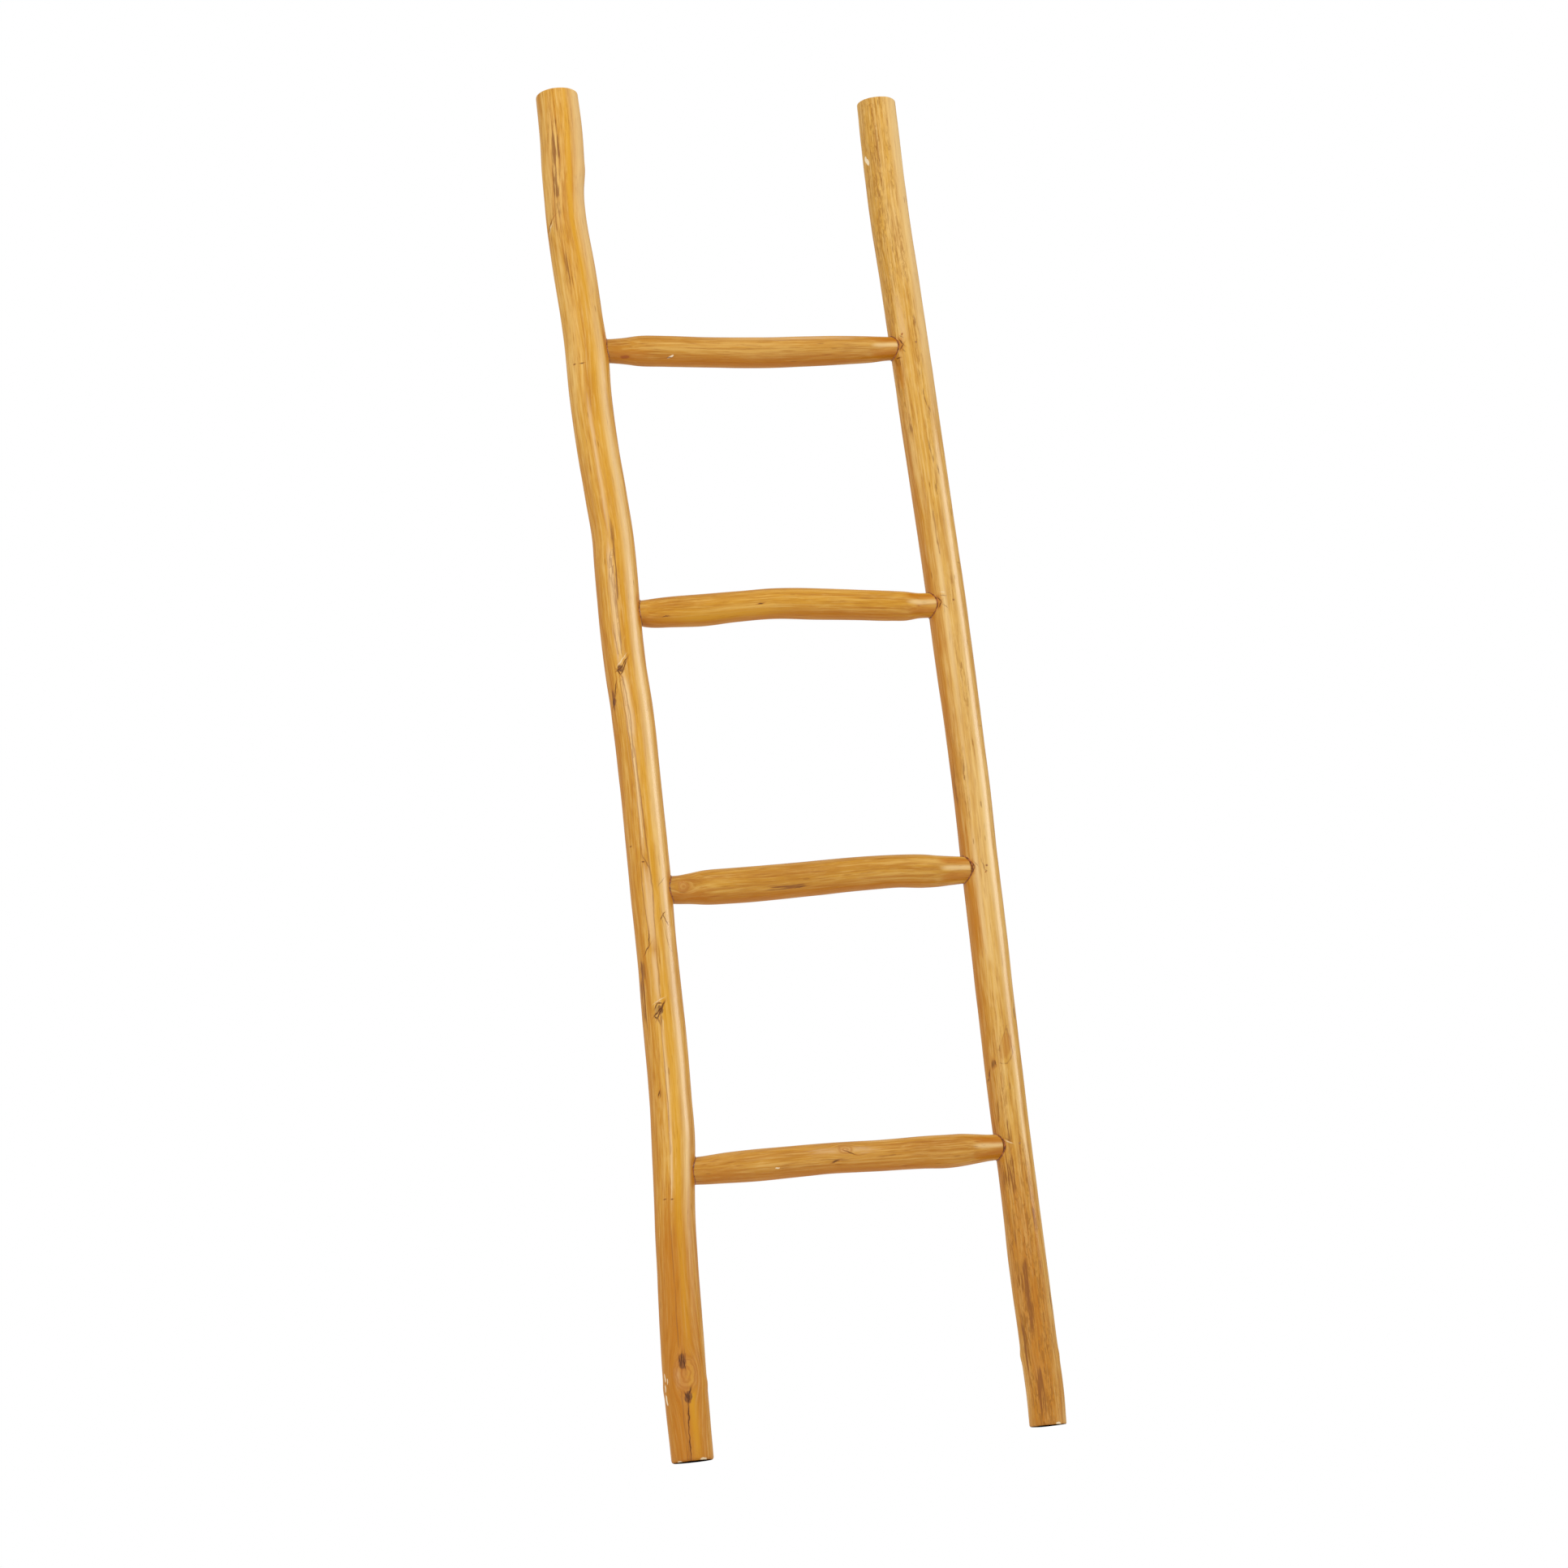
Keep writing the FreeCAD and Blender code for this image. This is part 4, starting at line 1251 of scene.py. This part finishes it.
RUNG_STATIONS = {
    Place.TOP: rows(
        Station, (-205, 1440, 0, 31.5), (-196, 1440, 0, 31.5), (-171, 1440, 0, 35),
        (-153, 1440, -0.2, 39.5), (-118, 1439.5, -0.6, 40.5), (-64, 1437.8, -1.2, 40),
        (26, 1437.1, -1.5, 41), (81, 1438.8, -1.2, 40), (137, 1441, -0.6, 38), (174, 1442, -0.2, 35.5),
        (193, 1443, 0, 32.4), (209, 1443, 0, 31)),
    Place.UPPER: rows(
        Station, (-197, 1081, 0, 33.5), (-188, 1081, 0, 33.5), (-181, 1080.6, 0, 35.6),
        (-146, 1082, 0.6, 40), (-110, 1083.3, 1.4, 42), (-57, 1087.5, 2.4, 40), (-3, 1090.6, 3, 40.3),
        (51, 1088.8, 2.6, 41.5), (105, 1086, 1.6, 40.6), (159, 1083, 0.6, 39.7), (177, 1082, 0.2, 38.7),
        (196, 1082, 0, 33.5), (216, 1082, 0, 33)),
    Place.LOWER: rows(
        Station, (-194, 715, 0, 35.5), (-186, 714.8, 0, 35.5), (-179, 714.5, 0, 36), (-162, 715, 0, 39),
        (-144, 715.5, -0.2, 43.4), (-110, 716, -0.5, 45.5), (-57, 717.6, -0.8, 45.6), (14, 721, -1, 44.7),
        (67, 723.5, -0.8, 44), (121, 724.7, -0.4, 43), (157, 723, -0.2, 43.3), (175, 722, 0, 41),
        (193, 722, 0, 38), (217, 722, 0, 34.5)),
    Place.BOTTOM: rows(
        Station, (-203, 355.6, 0, 34.5), (-195, 355.4, 0, 34.5), (-185, 355.4, 0, 35.4),
        (-151, 356.5, 0.4, 38.5), (-117, 357, 0.8, 40.5), (-65, 358, 1.3, 39.8), (-13, 359, 1.5, 39),
        (57, 357.6, 1.4, 40), (109, 357.5, 1, 41.3), (145, 356.6, 0.5, 42.4), (163, 357, 0.3, 41.4),
        (180, 357, 0, 38.3), (198, 357, 0, 34.3), (214, 357, 0, 32.5)),
}

# On every rung the short cream row near the right end paints a highlight across the neck, and the long amber
# row on the underside, at about -66 degrees, paints shade; the amber either side of the neck and under the
# left end deepens the orange.
RUNG_STAINS_AND_LIGHT = {
    Place.TOP: grouped(StainAndPaintedLight, {
        Tone.AMBER: ((190, 34, 26, 5, 1.1), (190, -42, 26, 7, 1.1), (-170, -47, 34, 12, 1.0),
            (0, -68, 190, 13, 1.0)),
        Tone.CREAM: ((192, 0, 22, 3, 1.2),),
        Tone.SILVER: ((60, 45, 110, 6, 0.5),)}),
    Place.UPPER: grouped(StainAndPaintedLight, {
        Tone.AMBER: ((196, 32, 24, 5, 1.1), (196, -40, 24, 7, 1.1), (-165, -60, 44, 13, 1.1),
            (20, -66, 190, 13, 1.0)),
        Tone.CREAM: ((198, 2, 22, 3.4, 1.3),),
        Tone.GOLD: ((-80, -40, 90, 7, 0.8),)}),
    Place.LOWER: grouped(StainAndPaintedLight, {
        Tone.AMBER: ((196, 32, 24, 5, 1.1), (196, -40, 24, 7, 1.1), (-165, -50, 34, 12, 0.9),
            (0, -66, 190, 13, 1.0)),
        Tone.CREAM: ((198, 0, 22, 3.2, 1.2),),
        Tone.VIOLET: ((-40, -30, 26, 3, 0.6),)}),
    Place.BOTTOM: grouped(StainAndPaintedLight, {
        Tone.AMBER: ((196, 30, 24, 5, 1.1), (196, -40, 24, 7, 1.1), (-165, -50, 34, 12, 0.9),
            (0, -64, 190, 12, 0.9)),
        Tone.CREAM: ((196, 4, 22, 3.2, 1.2),),
        Tone.SILVER: ((0, 20, 50, 6, 0.6),),
        Tone.VIOLET: ((-14, -10, 18, 3, 0.6),)}),
}

RUNG_SCARS = {
    Place.TOP: grouped(Scar, {
        Mark.CHIP: ((-114.5, -41, 5, 1.4, 30),),
        Mark.CRACK: ((-116, -44, 4, 0.6, 10),),
        Mark.RUST: ((-175.6, -47, 7, 3),)}),
    Place.UPPER: grouped(Scar, {
        Mark.CRACK: ((-29, -11, 4, 0.9, 8), (-160, -30, 5, 0.6))}),
    Place.LOWER: grouped(Scar, {
        Mark.KNOT: ((-174, 1, 7, 7),),
        Mark.CRACK: ((-20, -35, 9, 0.6, 2),)}),
    Place.BOTTOM: grouped(Scar, {
        Mark.KNOT: ((0.5, 24, 8, 6),),
        Mark.CRACK: ((-14, -21, 5, 1.1, 20), (6, 10, 8, 0.6, -24)),
        Mark.CHIP: ((-92, -23.5, 3, 1),)}),
}

RUNG_SWELLINGS = {
    Place.TOP: rows(Swelling, (187, -9, -1.2, 9, 10)),
    Place.UPPER: rows(Swelling, (199, -11, -1.3, 9, 10), (-29, -11, -0.5, 6, 3)),
    Place.LOWER: rows(Swelling, (197.5, -20, -1.4, 9, 10), (-175.5, 1, 0.7, 7, 7)),
    Place.BOTTOM: rows(Swelling, (0.5, 24, 0.6, 9, 8), (0.5, 24, -0.6, 3, 3), (-14, -21, -0.9, 5, 2.5)),
}

POLE_FINISH = {
    Side.LEFT: LacqueredTeak("lacquered_teak_left_pole", pore_share=0.93),
    Side.RIGHT: LacqueredTeak("lacquered_teak_right_pole", "#D3A044", "#EBC680", "#AE7024",
                              pore_share=0.6, pore_depth=0.6),
}
POLE_EDGES = {Side.LEFT: (3.5, 2.5), Side.RIGHT: (2.5, 2.0)}

RUNG_FINISH = {
    Place.BOTTOM: LacqueredTeak("lacquered_teak_bottom_rung", "#C48A30", "#DCAE60", "#A0601A"),
    Place.LOWER: LacqueredTeak("lacquered_teak_lower_rung", "#C48C2E", "#DCB05E", "#A0601A"),
    Place.UPPER: LacqueredTeak("lacquered_teak_upper_rung", "#CA902C", "#E0B25C", "#A66616"),
    Place.TOP: LacqueredTeak("lacquered_teak_top_rung", "#C0862C", "#D8AA5A", "#9C5E16"),
}


@dataclass
class Joint:
    """Where a rung's neck goes into a pole: the bead of glue round it."""

    rung: Branch
    pole: Branch
    name: str
    towards: int
    start: float = 150.0           # where the search along the neck starts, from the ladder's middle
    look_from: float = 0.6         # the share of that where the sight line starts
    rounds: int = 4                # the neck's radius is read again at each new spot
    points: int = 72
    bead: float = 1.15
    lump: float = 0.45
    lump_pitch: float = 150.0       # lumps in a metre
    sides: int = 8
    seed: float = 1.0
    piece: Object = field(init=False)

    def loop(self) -> np.ndarray:
        """Finds the line where the neck's skin meets the pole's skin, by sight along the neck.

        Returns:
            The points of the closed line.
        """
        skin = self.pole.tree()
        found = []
        for turn in np.linspace(0.0, math.tau, self.points, endpoint=False):
            spot = self.start * self.towards
            for _ in range(self.rounds):
                along = np.array([spot])
                heart, radius = self.rung.heart(along)[0], self.rung.radius(along)[0]
                lift, forth = heart[0] + radius * math.sin(turn), heart[1] - radius * math.cos(turn)
                ray_from = Vector(self.rung.place(np.array(lift), np.array(forth),
                                                  np.array(self.look_from * self.start * self.towards)))
                hit = skin.ray_cast(ray_from, Vector((self.towards, 0.0, 0.0)))[0]
                spot = hit.x / MM
            found.append(hit)
        return np.array(found)

    def build(self, finish: Material) -> Object:
        """Runs a lumpy bead along the line.

        Args:
            finish: The glue's material.

        Returns:
            The piece.
        """
        nodes = NodeTree(f"bead_{self.name}", {"Bead radius": self.bead * MM, "Lump": self.lump,
                                               "Sides": self.sides, "Seed": self.seed})
        tree, own = nodes.tree, nodes.own
        spot = add(tree, "GeometryNodeInputPosition")
        lumps = add(tree, "ShaderNodeTexNoise", {"Vector": spot, "W": own["Seed"], "Detail": 2.0,
                                                 "Scale": self.lump_pitch}, noise_dimensions="4D")
        swing = maths(tree, "MULTIPLY", maths(tree, "SUBTRACT", lumps, 0.5), own["Lump"])
        share = maths(tree, "MULTIPLY_ADD", swing, 4.0, 1.0)
        girth = maths(tree, "MULTIPLY", share, own["Bead radius"])
        nodes.finish(nodes.swept(girth, False), finish)
        guide = guide_object(f"{self.name}_line", self.loop(), True, {})
        self.piece = nodes.apply(guide, f"glue_{self.name}")
        outward(self.piece.data)
        return self.piece

    def dress(self) -> None:
        """Hangs the bead on the frame in place of the CAD's ring."""
        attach(self.piece, BODY)
        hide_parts(f"glue_bead_{self.name}")
        LOG.info("%s: bead of %d faces", self.piece.name, len(self.piece.data.polygons))


@dataclass
class NailPlugs:
    """The filler over the nails: eight small domed dots on the poles' skins."""

    poles: dict[Side, Branch]
    radius: float = 1.5
    dome: float = 0.35
    level: float = 0.1             # metres: points this close in height are of one plug
    stand_off: float = 0.02        # metres outside the CAD's plug where the sight line starts
    piece: Object = field(init=False)

    def spots(self) -> tuple[np.ndarray, np.ndarray]:
        """Finds where each nail goes in, from the CAD's plugs, on the dressed skin.

        Returns:
            The places and the outward directions.
        """
        groups: dict[tuple[bool, int], list[Vector]] = {}
        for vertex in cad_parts["nail_filler"].data.vertices:
            groups.setdefault((vertex.co.x > 0, round(vertex.co.z / self.level)), []).append(vertex.co)
        merged: dict[tuple[bool, int], list[Vector]] = {}
        for (right, level), points in sorted(groups.items()):
            key = (right, level - 1) if (right, level - 1) in merged else (right, level)
            merged.setdefault(key, []).extend(points)
        skins = {side: pole.tree() for side, pole in self.poles.items()}
        places, ways = [], []
        for (right, _), points in merged.items():
            middle = sum(points, Vector()) / len(points)
            out = Vector((0.0, math.copysign(1.0, middle.y), 0.0))
            skin = skins[Side.RIGHT if right else Side.LEFT]
            hit, normal, _, _ = skin.ray_cast(middle + out * self.stand_off, -out)
            places.append(hit)
            ways.append(normal)
        return np.array(places), np.array(ways)

    def build(self, finish: Material) -> Object:
        """Sets one dot on each place, turned to the skin.

        Args:
            finish: The filler's material.

        Returns:
            The piece.
        """
        nodes = NodeTree("filler_dots", {"Radius": self.radius * MM, "Dome": self.dome, "Segments": 24,
                                         "Rings": 10})
        tree, own = nodes.tree, nodes.own
        dot = add(tree, "GeometryNodeMeshUVSphere", {n: own[n] for n in ("Segments", "Rings", "Radius")})
        flat = add(tree, "ShaderNodeCombineXYZ", {0: 1.0, 1: 1.0, 2: own["Dome"]})
        way = add(tree, "GeometryNodeInputNamedAttribute", {"Name": "way"}, data_type="FLOAT_VECTOR")
        turn = add(tree, "FunctionNodeAlignRotationToVector", {"Vector": way}, axis="Z")
        dots = add(tree, "GeometryNodeInstanceOnPoints",
                   {"Points": own["Geometry"], "Instance": dot, "Rotation": turn, "Scale": flat})
        nodes.finish(dots, finish)
        places, ways = self.spots()
        guide = guide_object("filler_spots", places, False, {"way": ways}, joined=False)
        self.piece = nodes.apply(guide, "filler_dots")
        outward(self.piece.data)
        return self.piece

    def dress(self) -> None:
        """Hangs the dots on the frame in place of the CAD's plugs."""
        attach(self.piece, BODY)
        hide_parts("nail_filler")
        LOG.info("%s: %d faces", self.piece.name, len(self.piece.data.polygons))


@dataclass(frozen=True)
class Lamp:
    """A soft box that faces the ladder: degrees from the front, metres above and across the floor, watts."""

    name: str
    azimuth: float
    height: float
    reach: float
    size: tuple[float, float]
    power: float
    work: Light
    aim: tuple[float, float, float] = (0.0, 0.0, 0.9)

    def hang(self) -> None:
        """Hangs the lamp, and lets the wood have its wash or the lacquer its shine."""
        data = bpy.data.lights.new(self.name, "AREA")
        data.shape, data.size, data.size_y, data.energy = "RECTANGLE", *self.size, self.power
        lamp = hung(self.name, data)
        turn = math.radians(self.azimuth)
        lamp.location = (self.reach * math.sin(turn), -self.reach * math.cos(turn), self.height)
        aim = Vector(self.aim) - lamp.location
        lamp.rotation_euler = aim.to_track_quat("-Z", "Y").to_euler()
        lamp.visible_diffuse = self.work is not Light.GLOSS
        lamp.visible_glossy = self.work is not Light.WASH


LAMPS = (
    Lamp("key_soft_box", 18.0, 4.2, 3.2, (2.4, 2.4), 76.0, Light.WASH),
    Lamp("side_strip", 66.0, 1.45, 3.2, (1.4, 1.6), 48.0, Light.GLOSS),
    Lamp("front_fill", -52.0, 1.9, 3.4, (1.8, 2.0), 29.0, Light.WASH),
    Lamp("back_fill", 195.0, 2.4, 3.2, (2.0, 2.0), 17.0, Light.WASH),
)


@dataclass
class Studio:
    """Floor, soft lamps, white surroundings and the camera."""

    eye: tuple[float, float, float] = (-1.5015, -4.35, -0.17)
    target: tuple[float, float, float] = (-0.0198, 0.0, 0.847)
    roll: float = -6.525           # degrees, as the photograph hangs a little askew
    lens: float = 83.547
    sensor: float = 36.0
    clip: tuple[float, float] = (0.05, 60.0)
    floor_size: float = 7.0
    ambient: float = 0.66
    white: str = "#FFFFFF"
    paper: str = "#F4F3F1"

    def camera(self) -> None:
        """Sets the camera at the photograph's place, looking up from below the floor's level."""
        ahead = (Vector(self.target) - Vector(self.eye)).normalized()
        side = ahead.cross(Vector((0.0, 0.0, 1.0))).normalized()
        up = side.cross(ahead)
        turn = math.radians(self.roll)
        right = side * math.cos(turn) + up * math.sin(turn)
        top = up * math.cos(turn) - side * math.sin(turn)
        data = bpy.data.cameras.new("camera")
        data.lens, data.sensor_width, data.sensor_fit = self.lens, self.sensor, "HORIZONTAL"
        data.clip_start, data.clip_end = self.clip
        camera = hung("camera", data)
        axes = Matrix((right, top, -ahead)).transposed()
        camera.matrix_world = Matrix.Translation(Vector(self.eye)) @ axes.to_4x4()
        bpy.context.scene.camera = camera

    def surroundings(self) -> None:
        """Plain light from all round, and white where the camera looks past the ladder."""
        world = bpy.data.worlds.new("white_studio")
        tree = emptied(world)
        rays = tree.nodes.new("ShaderNodeLightPath").outputs
        seen = maths(tree, "MAXIMUM", rays["Is Camera Ray"], rays["Is Transmission Ray"])
        soft, white = (add(tree, "ShaderNodeBackground", {"Color": linear(self.white), "Strength": power})
                       for power in (self.ambient, 1.0))
        both = add(tree, "ShaderNodeMixShader", {0: seen, 1: soft, 2: white})
        add(tree, "ShaderNodeOutputWorld", {"Surface": both})
        bpy.context.scene.world = world

    def floor(self) -> None:
        """Lays a white matt floor, clear only where the camera looks up through it from below."""
        mesh = bpy.data.meshes.new("floor")
        half = self.floor_size / 2
        mesh.from_pydata([(-half, -half, 0), (half, -half, 0), (half, half, 0), (-half, half, 0)], [],
                         [(0, 1, 2, 3)])
        floor = hung("floor", mesh)
        material = bpy.data.materials.new("white_paper_floor")
        tree = emptied(material)
        paper = add(tree, "ShaderNodeBsdfDiffuse", {"Color": linear(self.paper)})
        clear = add(tree, "ShaderNodeBsdfTransparent")
        rays = tree.nodes.new("ShaderNodeLightPath").outputs["Is Camera Ray"]
        under = tree.nodes.new("ShaderNodeNewGeometry").outputs["Backfacing"]
        share = maths(tree, "MULTIPLY", rays, under)
        mixed = add(tree, "ShaderNodeMixShader", {0: share, 1: paper, 2: clear})
        add(tree, "ShaderNodeOutputMaterial", {"Surface": mixed})
        mesh.materials.append(material)

    def build(self) -> None:
        """Sets up the whole studio."""
        self.camera()
        self.surroundings()
        self.floor()
        for lamp in LAMPS:
            lamp.hang()
        bpy.context.scene.view_settings.view_transform = "Standard"


@dataclass
class Ladder:
    """The whole blanket ladder."""

    poles: dict[Side, Branch] = field(default_factory=dict)
    rungs: dict[Place, Branch] = field(default_factory=dict)

    def build(self) -> None:
        """Builds and dresses the poles, the rungs, their glue, and the filler and nails."""
        for number, side in enumerate(Side):
            pole = Branch(f"{side.value}_pole", f"{side.value}_rail", "pole_wood", Run.UPRIGHT,
                          POLE_STATIONS[side], POLE_FINISH[side], POLE_SWELLINGS[side], POLE_STAINS_AND_LIGHT[side],
                          POLE_SCARS[side], POLE_VEINS[side], edges=POLE_EDGES[side], seed=number + 1)
            pole.build()
            pole.dress()
            self.poles[side] = pole
        for number, place in enumerate(Place, len(Side)):
            rung = Branch(f"{place.value}_rung", f"rung_{place.value}", "rung_wood", Run.LEVEL,
                          RUNG_STATIONS[place], RUNG_FINISH[place], RUNG_SWELLINGS[place],
                          RUNG_STAINS_AND_LIGHT[place], RUNG_SCARS[place], edges=(1.0, 1.0), sides=80, step=2.2,
                          seed=number + 1)
            rung.build()
            rung.dress()
            self.rungs[place] = rung
        glue = HARD_GLUE.material()
        for number, (place, rung) in enumerate(self.rungs.items()):
            for side, pole in self.poles.items():
                towards = -1 if side is Side.LEFT else 1
                joint = Joint(rung, pole, f"{place.value}_{side.value}", towards,
                              seed=float(number * 2 + towards))
                joint.build(glue)
                joint.dress()
        plugs = NailPlugs(self.poles)
        plugs.build(WOOD_FILLER.material())
        plugs.dress()
        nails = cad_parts["joint_nails"]
        nails.data.materials.clear()
        steel = NailSteel()
        nails.data.materials.append(steel.material())
        LOG.info("joint_nails: CAD solid kept, finish %s", steel.name)


def main() -> None:
    """Builds the studio and the ladder."""
    logging.basicConfig(level=logging.INFO, format="%(message)s")
    Studio().build()
    Ladder().build()


if __name__ == "__main__":
    main()
